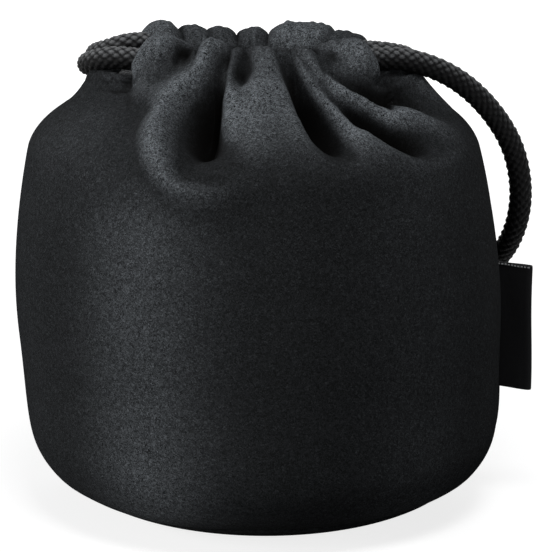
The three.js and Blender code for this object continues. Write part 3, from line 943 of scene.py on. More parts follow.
@dataclass(frozen=True)
class PaintedLight:
    """Painted light and shade of a suede panel, by place and row band.

    The stroke is a broad painted highlight on the left of the wall and the glow a weak painted light
    on its right. Both get stronger low down. Spots of painted light lie on the shoulder. The seam term is
    a painted sheen near both side seams; the wrinkle term paints light on raised wrinkles and shade in
    sunk ones, the ridge and puff terms paint highlights on what stands out, and the shade terms paint
    shade in the valleys.
    """

    # Painted highlight band down the left of the wall, and the weak painted light of the glow on its right.
    stroke: float = 0.275
    highlight_place: float = 0.345
    highlight_width: float = 0.083
    highlight_low: float = 0.5
    glow: float = 0.065
    glow_starts: Pair = (0.58, 0.72)
    glow_ends: Pair = (0.74, 0.85)
    glow_low: float = 0.6
    low_bands: Pair = (1.6, 2.9)
    wall_bands: Pair = (-0.5, 0.4)
    # Spots of painted light on the shoulder.
    light_patches: tuple[Patch, ...] = (Patch(0.2, 0.5, 0.11, 0.1, 0.55), Patch(0.76, 0.0, 0.06, 0.09, 0.4))
    # Painted sheen near both side seams.
    seam: float = 0.045
    sheen_places: Pair = (0.10, 0.26)
    # Painted light on raised wrinkles and painted shade in sunk ones.
    wrinkle_shading: float = 0.25
    wrinkle_shading_bands: Pair = (0.6, 1.6)
    # Painted highlights on the ridges.
    ridge: float = 0.31
    # Painted highlights on the puffs of the hem.
    puff: float = 0.75
    lightest: float = 1.15
    shade_starts: Pair = (0.6, 2.0)
    shade_bands: Pair = (1.45, 1.75)
    shade_depth: float = 1.6

    def marks(self, place: Array, row: Array) -> Array:
        """Painted highlight band and glow of the wall and spots of painted light on the shoulder."""
        stroke = self.stroke * np.exp(-((place - self.highlight_place) / self.highlight_width) ** 2)
        glow = self.glow * smooth(*self.glow_starts, place) * (1.0 - smooth(*self.glow_ends, place))
        low = smooth(*self.low_bands, -row)
        band_light = stroke * (1.0 + self.highlight_low * low) + glow * (1.0 + self.glow_low * low)
        band_light = band_light * (1.0 - smooth(*self.wall_bands, row))
        return band_light + sum(patch.at(place, row) for patch in self.light_patches)

    def seam_sheen(self, place: Array) -> Array:
        """Painted sheen near both side seams."""
        return self.seam * (1.0 - smooth(*self.sheen_places, np.minimum(place, 1.0 - place)))

    def shade(self, sunk: Array, row: Array) -> Array:
        """Share of the light that is left in a valley; under the hem it gets dark sooner."""
        start = mix(*self.shade_starts, smooth(*self.shade_bands, row))
        return np.exp(np.minimum(sunk + start, 0.0) / self.shade_depth)


PAINTED_LIGHT = PaintedLight()


class PanelSkin:
    """One suede panel as a lofted shell: heel, wall, gathered neck and the hem round the cords.

    Lengths are in millimetres and the turns of the hem in degrees. Of a pair that goes with the bare
    edge or with the fill, the first value is for none of it and the second for all of it.
    """

    SEAM_WIDTH = 1.3
    SEAM_DEPTH = 0.9
    CROSS = 0.0025
    BAND = 22.0
    COLLAR_POWER = 3
    BARE_LEFT = (17.2, 22.8)
    BARE_RIGHT = (20.4, 25.6)
    EDGE_LEAST = 0.2
    HEEL_PASSES = 45
    HEEL_ROWS = 9.0
    HEEL_PUFF = 1.3
    PUFF_STARTS = (3.4, 7.5)
    PUFF_ENDS = (12.0, 34.0)
    TUCK_SHARE = 0.09
    TUCK_IN = 0.27
    TUCK_UP = 0.36
    PINCH_PLACES = 0.24
    PINCH_RIGHT = 0.65
    PINCH_BACK = 1.3
    PINCH_SWELL = 0.014
    HEM_SIDEWAYS = 0.55
    HEM_OUTWARDS = 0.25
    HEM_STARTS = (-28.0, -5.0)
    HEM_ENDS = 285.0
    SLOPE_SHARE = 0.03
    CLIMB_STEP = 0.01
    RISE_LEAVES = (0.88, 0.5)
    RISE_MEETS = (6.0, 62.0)
    RISE_PULL = 0.42
    DENTS = Ripple(0.4, 6.0, 0.8, start=(0.0, 9.0))
    CREASES = Ripple(0.34, 38.0, 5.0, 2.4, (0.0, 7.0))
    SMALL = Ripple(0.2, 95.0, 7.0, start=(5.0, 11.0))
    CREASE_LEFT = (0.10, 0.22)
    CREASE_RIGHT = (0.08, 0.20)
    CREASE_BANDS = (0.4, 2.0)
    CREASE_LEAST = 0.25

    def __init__(self, shape: PouchShape, side: Side, gathers: Gathers, grid: SkinGrid) -> None:
        """Keeps what the panel is made from.

        Args:
            shape: Shape of the pouch.
            side: Front or back.
            gathers: Folds of its neck and puffs of its hem.
            grid: Number of rows and columns.
        """
        self.shape = shape
        self.side = side
        self.gathers = gathers
        self.grid = grid
        self.place = np.linspace(0.0, 1.0, grid.columns + 1)
        self.angle = mix(math.pi + self.CROSS, -self.CROSS, self.place)
        self.drape = Drape(gathers.lines)

    def points(self) -> Array:
        """Corners of the shell, row by row from the base seam to the inside of the hem."""
        base = self.base()
        moved = base + self.normals(base) * self._relief()[..., None]
        if self.gathers.sways:
            moved[..., 0] += Drape(self.gathers.sways).relief(self.place, self.rows())
        return self.shape.lean(moved)

    def rows(self) -> Array:
        """Band of each row: under 0 the wall, 0 to 1 the neck, 1 to 2 its rise, 2 to 3 the hem.

        On the wall a band is as long as the neck's one is on average.
        """
        g = self.grid
        radius, height = self._section()
        below = np.cumsum(np.hypot(np.diff(radius), np.diff(height))[::-1])[::-1]
        return np.concatenate([-below / self.BAND,
                               np.linspace(0.0, 1.0, g.neck, endpoint=False),
                               np.linspace(1.0, 2.0, g.rise, endpoint=False),
                               np.linspace(2.0, 3.0, g.hem)])

    def _collar(self) -> tuple[Array, Array, Array]:
        """Middle and radius of the rolled hem of each column, and how much of it is bare edge."""
        s = self.shape.size
        across = np.cos(self.angle)
        spread = s.collar_half_length / s.channel_half_length - 1.0
        x = s.channel_half_length * across * (1.0 + spread * across ** 2)
        share = (1.0 - x / s.channel_half_length) / 2.0
        hem = self.shape.channel(share, self.side)
        reach = np.abs(x) / s.collar_half_length
        inside = np.maximum(1.0 - reach ** self.COLLAR_POWER, 0.0) ** (1.0 / self.COLLAR_POWER)
        depth = np.maximum(s.collar_half_depth * inside - 2 * s.edge_radius, self.EDGE_LEAST)
        end = np.where(x < 0, s.collar_left_height, s.collar_right_height)
        edge_z = s.shoulder_height + mix(s.collar_edge_height, end, reach ** 2)
        edge = np.stack([x, self.side.value * depth, edge_z], axis=-1)
        bare = smooth(*self.BARE_LEFT, -x) + smooth(*self.BARE_RIGHT, x)
        middle = mix(hem, edge, bare[:, None])
        return middle, mix(s.hem_radius, s.edge_radius, bare), bare

    def _section(self) -> tuple[Array, Array]:
        """Radius and height of the heel and the wall, up to the shoulder, rounded where they meet."""
        s, g = self.shape.size, self.grid
        shares = np.concatenate([np.linspace(s.base_seam, 1.0, g.heel, endpoint=False),
                                 np.linspace(1.0, 2.0, g.wall + 1)])
        radius, height = self.shape.wall(shares)
        near = np.exp(-((np.arange(len(shares)) - g.heel) / self.HEEL_ROWS) ** 2)[1:-1]
        for _ in range(self.HEEL_PASSES):
            for line in (radius, height):
                line[1:-1] += near / 4 * (line[:-2] - 2 * line[1:-1] + line[2:])
        puff = smooth(*self.PUFF_STARTS, height) * (1.0 - smooth(*self.PUFF_ENDS, height))
        tuck = 1.0 - smooth(0.0, self.TUCK_SHARE, shares - s.base_seam)
        return radius + self.HEEL_PUFF * puff - self.TUCK_IN * tuck, height + self.TUCK_UP * tuck

    def _pinch(self) -> Array:
        """How much the cords draw each column in: most at the left seam, less at the right one."""
        left = 1.0 - smooth(0.0, self.PINCH_PLACES, self.place)
        right = 1.0 - smooth(0.0, self.PINCH_PLACES, 1.0 - self.place)
        return (left + self.PINCH_RIGHT * right) * (self.PINCH_BACK if self.side is Side.BACK else 1.0)

    def base(self) -> Array:
        """The shell before its folds, upright."""
        s, g, sign = self.shape.size, self.grid, self.side.value
        cos, sin = np.cos(self.angle), np.sin(self.angle)
        radius, height = (line[:-1] for line in self._section())
        wall = np.stack([radius[:, None] * cos, sign * radius[:, None] * sin,
                         np.repeat(height[:, None], len(cos), axis=1)], axis=-1)

        middle, hem, bare = self._collar()
        out = np.stack([cos * self.HEM_SIDEWAYS, sign * (self.HEM_OUTWARDS + sin), np.zeros_like(cos)],
                       axis=-1)
        out /= np.linalg.norm(out, axis=-1)[:, None]

        def round_hem(turn: Array) -> Array:
            """Points of the hem at a turn for each column."""
            return middle + hem[:, None] * (np.cos(turn)[:, None] * out + np.sin(turn)[:, None] * UP)

        low = round_hem(np.radians(mix(*self.HEM_STARTS, bare)))
        shoulder = np.stack([s.shoulder_radius * cos, sign * s.shoulder_radius * sin,
                             np.full_like(cos, s.shoulder_height)], axis=-1)
        pinch = self._pinch()
        knee = mix(low, shoulder, (s.knee_share - s.knee_pinch * pinch)[:, None])
        knee[:, 2] = s.shoulder_height + s.knee_height - s.knee_drop * pinch
        slope = self.shape.wall(np.array([2.0 - self.SLOPE_SHARE]))[0][0] - s.shoulder_radius
        climbed = self.SLOPE_SHARE * (s.shoulder_height - s.heel_height)
        inwards = slope / s.shoulder_radius * s.swell_height / climbed
        swell = shoulder * (1.0 - inwards - self.PINCH_SWELL * pinch)[:, None]
        swell[:, 2] = s.shoulder_height + s.swell_height

        def dome(climb: Array) -> Array:
            """Points of the neck's dome at a climb for each column."""
            return bezier(shoulder, swell, knee, low, climb[..., None])

        fill = np.interp(self.place, *zip(*self.gathers.fill)) * (1.0 - bare)
        leave = mix(*self.RISE_LEAVES, fill)
        meet = np.radians(mix(*self.RISE_MEETS, fill))
        neck = dome(np.linspace(0.0, 1.0, g.neck, endpoint=False)[:, None] * leave)
        start, end = dome(leave), round_hem(meet)
        away = dome(leave + self.CLIMB_STEP) - dome(leave - self.CLIMB_STEP)
        away /= np.linalg.norm(away, axis=-1)[:, None]
        into = -np.sin(meet)[:, None] * out + np.cos(meet)[:, None] * UP
        pull = self.RISE_PULL * np.linalg.norm(end - start, axis=-1)[:, None]
        shares = np.linspace(0.0, 1.0, g.rise, endpoint=False)[:, None, None]
        rise = bezier(start, start + away * pull, end - into * pull, end, shares)
        turns = np.linspace(0.0, 1.0, g.hem)[:, None] * (math.radians(self.HEM_ENDS) - meet) + meet
        loop = np.stack([round_hem(turn) for turn in turns])
        return np.concatenate([wall, neck, rise, loop])

    def normals(self, base: Array) -> Array:
        """Directions out of the shell."""
        normal = np.cross(np.gradient(base, axis=1), np.gradient(base, axis=0))
        normal /= np.maximum(np.linalg.norm(normal, axis=-1)[..., None], 1e-9)
        return normal * -self.side.value

    def _relief(self) -> Array:
        """How far each corner stands out of the plain shell."""
        row = self.rows()[:, None]
        total = -self._seam() + self._wrinkles(row)
        total = total + self.drape.relief(self.place, row[:, 0])
        for lobe in self.gathers.lobes:
            total = total + lobe.relief(self.place, row)
        return total

    def _wrinkles(self, row: Array) -> Array:
        """Soft dents of the wall and fine wrinkles of the gathers."""
        place = np.ones_like(row) * self.place + (1.0 if self.side is Side.BACK else 0.0)
        dents = self.DENTS.at(self.shape.slow, place, row)
        creases = self.CREASES.at(self.shape.fine, place, row)
        small = self.SMALL.at(self.shape.fine, place, row)
        middle = smooth(*self.CREASE_LEFT, self.place) * smooth(*self.CREASE_RIGHT, 1.0 - self.place)
        gathered = smooth(*self.CREASE_BANDS, row) * mix(self.CREASE_LEAST, 1.0, middle)
        return dents * (1.0 - gathered / 2) + gathered * (creases + small)

    def _seam(self) -> Array:
        """Groove along the two side seams."""
        away = np.minimum(self.place, 1.0 - self.place) * math.pi * self.shape.size.waist_radius
        return self.SEAM_DEPTH * np.exp(-(away / self.SEAM_WIDTH) ** 2)

    def make(self, wardrobe: Wardrobe) -> bpy.types.Object:
        """Makes the panel's object."""
        points = self.points()
        rows, columns = points.shape[:2]
        name = f"{self.side.name.lower()}_skin"
        faces = grid_faces(rows, columns, flip=self.side is Side.BACK)
        return wardrobe.mesh(name, Coat.SUEDE, points.reshape(-1, 3), faces, tone=self._painted_light_and_shade().ravel())

    def _painted_light_and_shade(self) -> Array:
        """Painted light and shade of the suede: painted highlights on ridges and puffs and a broad one on
        the wall, painted sheen near the seams, painted shade in valleys and dents.
        """
        row = self.rows()[:, None]
        stands = self.drape.ridges(self.place, row[:, 0])
        # The puffs of the hem get a painted highlight.
        for lobe in self.gathers.lobes:
            stands = stands + PAINTED_LIGHT.puff * lobe.relief(self.place, row)
        # Painted light: the highlight band and glow, spots on the shoulder, sheen near the seams, light on
        # wrinkles and ridges.
        light = (Suede.TONE + PAINTED_LIGHT.marks(self.place, row) + PAINTED_LIGHT.seam_sheen(self.place)
                 + PAINTED_LIGHT.wrinkle_shading * self._wrinkles(row) * smooth(*PAINTED_LIGHT.wrinkle_shading_bands, row)
                 + PAINTED_LIGHT.ridge * np.maximum(stands, 0.0))
        # Painted shade in the valleys and in the dents of the puffs.
        dark = PAINTED_LIGHT.shade(self.drape.relief(self.place, row[:, 0]), row)
        for hollow in self.gathers.shaded_hollows:
            dark = dark * (1.0 - hollow.at(self.place, row))
        return np.clip(light, 0.0, PAINTED_LIGHT.lightest) * dark


class SideTuck:
    """Cloth of the front panel folded in beside a side seam, which shows when the lip opens."""

    REACH = 0.16
    BANDS = (0.05, 2.1)
    LEAST_DEPTH = 0.3
    DEPTH = 3.0
    SLOPE = 0.07

    def __init__(self, skin: PanelSkin, name: str) -> None:
        """Keeps the panel that it is folded under and its name, left or right."""
        self.skin = skin
        self.name = name

    def make(self, wardrobe: Wardrobe) -> bpy.types.Object:
        """Makes the tuck as a sheet under the panel's neck, deeper away from the seam."""
        skin = self.skin
        bands = skin.rows()
        rows = np.flatnonzero((bands > self.BANDS[0]) & (bands < self.BANDS[1]))
        away = skin.place if self.name == "left" else 1.0 - skin.place
        columns = np.flatnonzero(away < self.REACH)
        depth = self.LEAST_DEPTH + self.DEPTH * smooth(0.0, self.SLOPE, away)
        base = skin.base()
        sunk = skin.shape.lean(base - skin.normals(base) * depth[:, None])[np.ix_(rows, columns)]
        made = wardrobe.mesh(f"{self.name}_tuck", Coat.SUEDE, sunk.reshape(-1, 3),
                             grid_faces(len(rows), len(columns)))
        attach(made, "pouch")
        return made


# Cords


@dataclass(frozen=True)
class BraidSize:
    """Sizes of the round braid in millimetres."""

    diameter: float = 4.5
    strands: int = 8
    cell: float = 1.9
    relief: float = 0.42
    ring: int = 48
    step: float = 0.26


class BraidedCord:
    """A round braid along a path: strands cross over and under each other.

    A strand is flattened, arches over the one that it crosses and stands LIFT times the relief high.
    SHADE is the painted shade where it faces down and the painted light where it faces up, over the
    FACES of its normal. Its crowns get painted light and the gaps between strands painted shade.
    """

    FLATNESS = 0.55
    ARCH = 0.45
    LIFT = 1.25
    SHADE = (0.45, 1.2)
    FACES = (-0.3, 0.9)
    END_TONE = 0.5

    def __init__(self, name: str, points: Sequence[Sequence[float]], size: BraidSize = BraidSize(),
                 easing: int = 0) -> None:
        """Lays the path.

        Args:
            name: Name of the cord's object.
            points: Given points of its middle line in millimetres.
            size: Sizes of the braid.
            easing: Number of passes that widen its bends.
        """
        self.name = name
        self.size = size
        self.path = spline(points, size.step)
        for _ in range(easing):
            self.path[1:-1] += (self.path[:-2] - 2 * self.path[1:-1] + self.path[2:]) / 4

    @property
    def length(self) -> float:
        """Length of the middle line in metres."""
        return float(run_along(self.path)[-1]) * MM

    def _radius(self, turn: Array, along: Array) -> Array:
        """Radius of the braid, higher where a strand lies on top."""
        s = self.size
        p = turn * s.strands / (2 * math.pi) + along / s.cell
        q = turn * s.strands / (2 * math.pi) - along / s.cell
        over = (np.floor(p) + np.floor(q)) % 2 < 1
        cross = np.where(over, p, q) % 1.0
        run = np.where(over, q, p) % 1.0
        crown = np.sin(np.pi * cross) ** self.FLATNESS
        arch = mix(1.0 - self.ARCH, 1.0, np.sin(np.pi * run))
        return s.diameter / 2 - s.relief + s.relief * crown * arch * self.LIFT

    def make(self, wardrobe: Wardrobe) -> bpy.types.Object:
        """Makes the cord's object, closed at both ends."""
        s = self.size
        first, second = carried_frames(self.path)
        along = run_along(self.path)
        turn = np.arange(s.ring) * 2 * math.pi / s.ring
        turns, alongs = np.meshgrid(turn, along)
        radius = self._radius(turns, alongs)[..., None]
        # Painted light on the strands' crowns and painted shade in the gaps between them.
        crown = np.clip((radius[..., 0] - s.diameter / 2 + s.relief) / (self.LIFT * s.relief), 0.0, 1.0)
        out = np.cos(turns)[..., None] * first[:, None, :] + np.sin(turns)[..., None] * second[:, None, :]
        points = self.path[:, None, :] + radius * out
        # Painted shade under the cord and painted light on its top.
        crown = crown * mix(*self.SHADE, smooth(*self.FACES, out[..., 2]))
        rows = len(self.path)
        uv = np.stack([turns / (2 * math.pi), alongs / s.diameter], axis=-1).reshape(-1, 2)
        points = np.vstack([points.reshape(-1, 3), self.path[:1], self.path[-1:]])
        uv = np.vstack([uv, [[0.5, 0.0], [0.5, along[-1] / s.diameter]]])
        quads = grid_faces(rows, s.ring, wrap=True)
        ends = len(points) - 2
        last = (rows - 1) * s.ring
        caps = [[(k + 1) % s.ring, k, ends] for k in range(s.ring)]
        caps += [[last + k, last + (k + 1) % s.ring, ends + 1] for k in range(s.ring)]
        tone = np.concatenate([crown.ravel(), [self.END_TONE, self.END_TONE]])
        made = wardrobe.mesh(self.name, Coat.CORD, points, quads, uv, tone)
        self._cap(made, caps)
        return made

    @staticmethod
    def _cap(made: bpy.types.Object, caps: Sequence[Sequence[int]]) -> None:
        """Closes both ends of a tube."""
        net = bmesh.new()
        net.from_mesh(made.data)
        net.verts.ensure_lookup_table()
        for corners in caps:
            net.faces.new([net.verts[k] for k in corners])
        bmesh.ops.recalc_face_normals(net, faces=net.faces)
        net.to_mesh(made.data)
        net.free()


@dataclass(frozen=True)
class Leg:
    """A free leg of a drawcord: where it starts on the hem and the points that it lies along.

    The blend is where the still part of a leg ends and where the part that goes with the lip starts.
    """

    end: str
    side: Side
    route: tuple[Point, ...]
    blend: Union[tuple[Point, Point], None] = None

    @property
    def name(self) -> str:
        """Name of its node."""
        return f"{self.end}_cord_{self.side.name.lower()}_leg"


LEGS = (
    Leg("right", Side.FRONT, (
        (24.4, -6.2, 91.2), (28.4, -5.2, 90.6), (32.8, -3.6, 88.9), (37, -2, 86.6), (41.6, 0.4, 82.6),
        (45.4, 2.8, 77.9), (48.8, 5.2, 72.2), (50.6, 7, 66.5), (51.4, 9, 59.8), (50.7, 11.4, 53.6),
        (48.6, 16.4, 47), (45, 24, 41.4), (40.8, 30.6, 37.6), (37.2, 34.8, 36), (35.5, 36.6, 36),
    ), ((51.0, 9.0, 60.0), (29.0, -4.6, 90.2))),
    Leg("right", Side.BACK, (
        (23.4, 6.6, 89.8), (27, 9.6, 88.6), (28.6, 15.2, 86.8), (27.4, 22.4, 84.9), (24.4, 30, 82.8),
        (21, 37.6, 79.8), (18.2, 43.8, 74.6), (16.2, 47, 66), (15.4, 48.4, 55), (16.4, 48.4, 45),
        (20.6, 47.1, 37.6), (27, 43.9, 36), (33.3, 38.9, 36), (35.25, 36.87, 36),
    )),
    Leg("left", Side.FRONT, (
        (-29.4, -6, 91.6), (-32.6, -3.8, 90.4), (-35, 0.4, 88.8), (-35.4, 5.4, 87.7), (-34.5, 11.4, 86.8),
        (-33.2, 18.4, 85.6), (-32.8, 25.2, 83), (-35, 31.8, 76), (-37, 34.4, 65), (-37.2, 36.2, 54),
        (-35.8, 38.8, 44), (-31.6, 42, 37.4), (-27.5, 44.8, 35.5), (-25.6, 45.8, 35.5),
    ), ((-34.0, 31.0, 78.0), (-33.0, -2.0, 90.0))),
    Leg("left", Side.BACK, (
        (-28.6, 6.4, 91.2), (-32.4, 9, 89.5), (-34.4, 14.4, 87.9), (-33.4, 21.4, 86.2), (-30, 29.2, 84.2),
        (-25.6, 36.8, 80.8), (-21.4, 43.4, 74.6), (-17.2, 47.6, 65), (-15, 49.2, 54.6), (-15.2, 49.4, 45),
        (-18.6, 48.7, 37.7), (-23.1, 47.1, 35.5), (-25.28, 45.96, 35.5),
    )),
)


class Drawcords:
    """Both cords: their runs in the hems, their bights and their free legs.

    INSIDE is the share of a hem at each end that belongs to a leg or a bight. Both start at STARTS of it.
    """

    COARSE = BraidSize(ring=32, step=0.4)
    RUN_OFFSET = 2.4
    RUN_POINTS = 15
    GAP = 0.3
    BULGE = 2.0
    SAG = 1.6
    BEND = 8.0
    EASING = 300
    INSIDE = 0.08
    STARTS = 0.94

    def __init__(self, shape: PouchShape) -> None:
        """Keeps the shape that the cords run through."""
        self.shape = shape

    def _run(self, share: Array, side: Side, own: str) -> Array:
        """Points of a cord inside a hem: on top at its own end and below at the other."""
        start = 0.5 if own == "right" else 1.5
        turn = math.pi * (start - np.asarray(share, float))
        return self.shape.beside_channel(share, side, turn, self.RUN_OFFSET)

    def _leave(self, end: str, side: Side, own: str) -> list[Array]:
        """First points of what goes on from a run at one end, from a little inside the hem."""
        stop = 0.0 if end == own else 0.5
        shares = self.INSIDE * np.linspace(self.STARTS, stop, 4)
        inner = list(self._run(shares if end == "right" else 1.0 - shares, side, own))
        ahead = (inner[-1] - inner[-2]) / np.linalg.norm(inner[-1] - inner[-2])
        return [*inner, inner[-1] + ahead * (1.0 - stop + self.GAP)]

    def make(self, wardrobe: Wardrobe) -> None:
        """Makes every piece of both cords and attaches the runs and the legs without a blend."""
        shares = np.linspace(self.INSIDE, 1 - self.INSIDE, self.RUN_POINTS)
        for own, other in (("right", "left"), ("left", "right")):
            for side in Side:
                name = f"{own}_cord_{side.name.lower()}_run"
                made = BraidedCord(f"{name}_braid", self._run(shares, side, own), self.COARSE).make(wardrobe)
                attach(made, "front_lip" if side is Side.FRONT else "pouch")
                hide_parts(name)
            self._bight(own, other, wardrobe)
        for leg in LEGS:
            self._leg(leg, wardrobe)

    def _bight(self, own: str, other: str, wardrobe: Wardrobe) -> None:
        """Makes the bend of a cord at the end where it stays in."""
        front = self._leave(other, Side.FRONT, own)
        back = self._leave(other, Side.BACK, own)[::-1]
        middle = (front[-1] + back[0]) / 2
        middle += (self.BULGE if other == "right" else -self.BULGE, 0.0, -self.SAG)
        for point in (front[-1], back[0]):
            point[2] -= self.SAG / 2
        made = BraidedCord(f"{own}_cord_bight_braid", [*front, middle, *back]).make(wardrobe)
        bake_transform(made)
        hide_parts(f"{own}_cord_bight")

    def _leg(self, leg: Leg, wardrobe: Wardrobe) -> None:
        """Makes one free leg: one with a blend is baked where it lies, the others are attached to the pouch.
        """
        start = self._leave(leg.end, leg.side, leg.end)
        cord = BraidedCord(f"{leg.name}_braid", [*start, *leg.route], easing=self.EASING)
        made = cord.make(wardrobe)
        if leg.blend:
            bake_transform(made)
        else:
            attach(made, "pouch")
        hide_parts(leg.name)


# Layers and label


@dataclass
class Layers:
    """Base panel, padding and lining as turned shells, with their cuts in metres.

    FLOOR is where the rings that close a shell lie, in shares of its foot. The tops of the padding and
    of the lining are shares of the section, where 1 is the top of the heel and 2 the shoulder.
    """

    FILL: ClassVar[float] = 0.8
    BASE_CUT: ClassVar[Pair] = (0.0752, 0.0752)
    BASE_AREA: ClassVar[float] = 0.00444
    LINING_CUT: ClassVar[Pair] = (0.28, 0.10)
    LINING_AREA: ClassVar[float] = 0.0237
    FLOOR: ClassVar[Array] = np.linspace(0.001, 0.98, 12)
    UV_RADIUS: ClassVar[float] = 40.0
    shape: PouchShape
    columns: int = 120
    base_thickness: float = 1.2
    base_rows: int = 16
    padding_depth: float = 1.5
    padding_thickness: float = 2.0
    padding_top: float = 1.95
    padding_rows: tuple[int, int] = (14, 24)
    lining_depth: float = 3.8
    lining_thickness: float = 0.6
    lining_top: float = 1.98
    lining_rows: tuple[int, int] = (26, 30)

    def _shell(self, shares: Array, depth: float, to_axis: bool) -> tuple[Array, Array]:
        """Points of a turned shell and its UV in millimetres."""
        radius, height = self.shape.wall(shares, depth)
        if to_axis:
            radius = np.concatenate([self.FLOOR * radius[0], radius])
            height = np.concatenate([np.full(len(self.FLOOR), height[0]), height])
        angle = np.linspace(0.0, 2 * math.pi, self.columns, endpoint=False)
        points = np.stack([radius[:, None] * np.cos(angle), radius[:, None] * np.sin(angle),
                           np.repeat(height[:, None], self.columns, axis=1)], axis=-1)
        run = run_along(np.stack([radius, height], axis=-1))
        uv = np.stack([np.repeat(angle[None, :] * self.UV_RADIUS, len(run), axis=0),
                       np.repeat(run[:, None], self.columns, axis=1)], axis=-1)
        return self.shape.lean(points), uv.reshape(-1, 2)

    def _thick(self, name: str, coat: Coat, shares: Array, depth: float, thick: float, to_axis: bool,
               wardrobe: Wardrobe) -> bpy.types.Object:
        """Makes a closed shell between two depths."""
        outer, uv = self._shell(shares, depth, to_axis)
        inner, _ = self._shell(shares, depth + thick, to_axis)
        rows = len(outer)
        points = np.concatenate([outer.reshape(-1, 3), inner.reshape(-1, 3)])
        count = rows * self.columns
        quads = [grid_faces(rows, self.columns, wrap=True),
                 grid_faces(rows, self.columns, wrap=True, flip=True) + count]
        ring = np.arange(self.columns)
        after = (ring + 1) % self.columns
        top = (rows - 1) * self.columns
        quads.append(np.stack([top + ring, top + after, count + top + after, count + top + ring], axis=-1))
        quads.append(np.stack([after, ring, count + ring, count + after], axis=-1))
        return wardrobe.mesh(name, coat, points, np.concatenate(quads), np.concatenate([uv, uv]))

    @staticmethod
    def _shares(start: float, top: float, rows: tuple[int, int]) -> Array:
        """Shares of the section from a start in the heel to a top in the wall."""
        return np.concatenate([np.linspace(start, 1.0, rows[0]), np.linspace(1.0, top, rows[1])[1:]])

    def make(self, wardrobe: Wardrobe) -> None:
        """Makes and attaches the base panel, the padding and the lining."""
        seam = self.shape.size.base_seam
        low = np.linspace(0.0, seam, self.base_rows)
        high = self._shares(seam, self.padding_top, self.padding_rows)
        whole = self._shares(0.0, self.lining_top, self.lining_rows)
        foam = (self.padding_depth, self.padding_thickness)
        pieces = (
            ("base_skin", Coat.SUEDE, low, 0.0, self.base_thickness, True, ("base_panel",)),
            ("base_foam", Coat.PADDING, low, *foam, True, ("base_padding",)),
            ("wall_foam", Coat.PADDING, high, *foam, False, ("wall_padding",)),
            ("lining_bag", Coat.LINING, whole, self.lining_depth, self.lining_thickness, True,
             ("wall_lining", "base_lining")),
        )
        for name, coat, shares, depth, thick, to_axis, nodes in pieces:
            made = self._thick(name, coat, shares, depth, thick, to_axis, wardrobe)
            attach(made, "pouch")
            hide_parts(*nodes)
            if coat is Coat.PADDING:
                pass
            elif coat is Coat.SUEDE:
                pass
            else:
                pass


@dataclass
class SideLabel:
    """A woven ribbon folded double and caught in the side seam.

    Its two faces are pressed together in the seam and are fully apart at the length where it opens.
    Its fold is a half turn of a set length, and both its cut edges are thinner.
    """

    root: Point = (47.9, 0.0, 22.8)
    height: float = 25.6
    width: float = 6.0
    thickness: float = 1.4
    ply: float = 0.45
    turn: float = -30.0
    sewn_in: float = 1.8
    pressed: float = 0.35
    opens: float = 4.0
    fold_start: float = 1.2
    fold_length: float = 0.95
    face_cuts: int = 40
    fold_cuts: int = 17
    sway: float = 0.25
    sway_rate: float = 0.23
    sway_start: float = 0.6
    edge: float = 0.25
    edge_thinning: float = 0.35
    rows: int = 90
    thread_places: Pair = (-1.6, 0.7)
    thread_drop: float = 0.3
    thread_lift: float = 0.02

    def _profile(self) -> tuple[Array, Array]:
        """Middle line of the ribbon in plan, out along one face and back, and its outward directions."""
        half = (self.thickness - self.ply) / 2
        fold = self.width - self.fold_start
        out = np.linspace(-self.sewn_in, fold, self.face_cuts)
        spread = half * mix(self.pressed, 1.0, smooth(0.0, self.opens, out))
        turn = np.linspace(-math.pi / 2, math.pi / 2, self.fold_cuts)[1:-1]
        bend = np.stack([fold + self.fold_length * np.cos(turn), half * np.sin(turn)], axis=-1)
        middle = np.vstack([np.stack([out, -spread], axis=-1), bend,
                            np.stack([out[::-1], spread[::-1]], axis=-1)])
        along = np.gradient(middle, axis=0)
        along /= np.linalg.norm(along, axis=1)[:, None]
        return middle, np.stack([along[:, 1], -along[:, 0]], axis=-1)

    def _stand(self, flat: Array, z: Array) -> Array:
        """Places plan points at heights: the label stands turned towards the front."""
        x, y = flat[..., 0], flat[..., 1]
        y = y + self.sway * np.sin(z * self.sway_rate + self.sway_start) * smooth(0.0, self.width, x)
        angle = math.radians(self.turn)
        return np.stack([self.root[0] + x * math.cos(angle) - y * math.sin(angle),
                         self.root[1] + x * math.sin(angle) + y * math.cos(angle),
                         self.root[2] + z], axis=-1)

    def make(self, wardrobe: Wardrobe) -> bpy.types.Object:
        """Makes the ribbon as a closed band with its two cut edges."""
        middle, out = self._profile()
        ring = np.vstack([middle + out * self.ply / 2, (middle - out * self.ply / 2)[::-1]])
        run = run_along(ring)
        z = np.linspace(0.0, self.height, self.rows)
        inside = smooth(0.0, self.edge, np.minimum(z, self.height - z))
        thin = 1.0 - self.edge_thinning * (1.0 - inside)
        middle_ring = np.vstack([middle, middle[::-1]])
        rings = middle_ring + (ring - middle_ring) * thin[:, None, None]
        heights = np.repeat(z[:, None], len(ring), axis=1)
        points = self._stand(rings, heights)
        uv = np.stack([np.repeat(run[None, :], self.rows, axis=0), heights], axis=-1)
        quads = grid_faces(self.rows, len(ring), wrap=True)
        half = len(middle)
        strip = np.arange(half - 1)
        low = np.stack([strip, 2 * half - 1 - strip, 2 * half - 2 - strip, strip + 1], axis=-1)
        high = low[:, ::-1] + (self.rows - 1) * len(ring)
        made = wardrobe.mesh("label_ribbon", Coat.LABEL, points.reshape(-1, 3),
                             np.vstack([quads, low, high]), uv.reshape(-1, 2))
        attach(made, "label")
        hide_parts("side_label")
        return made

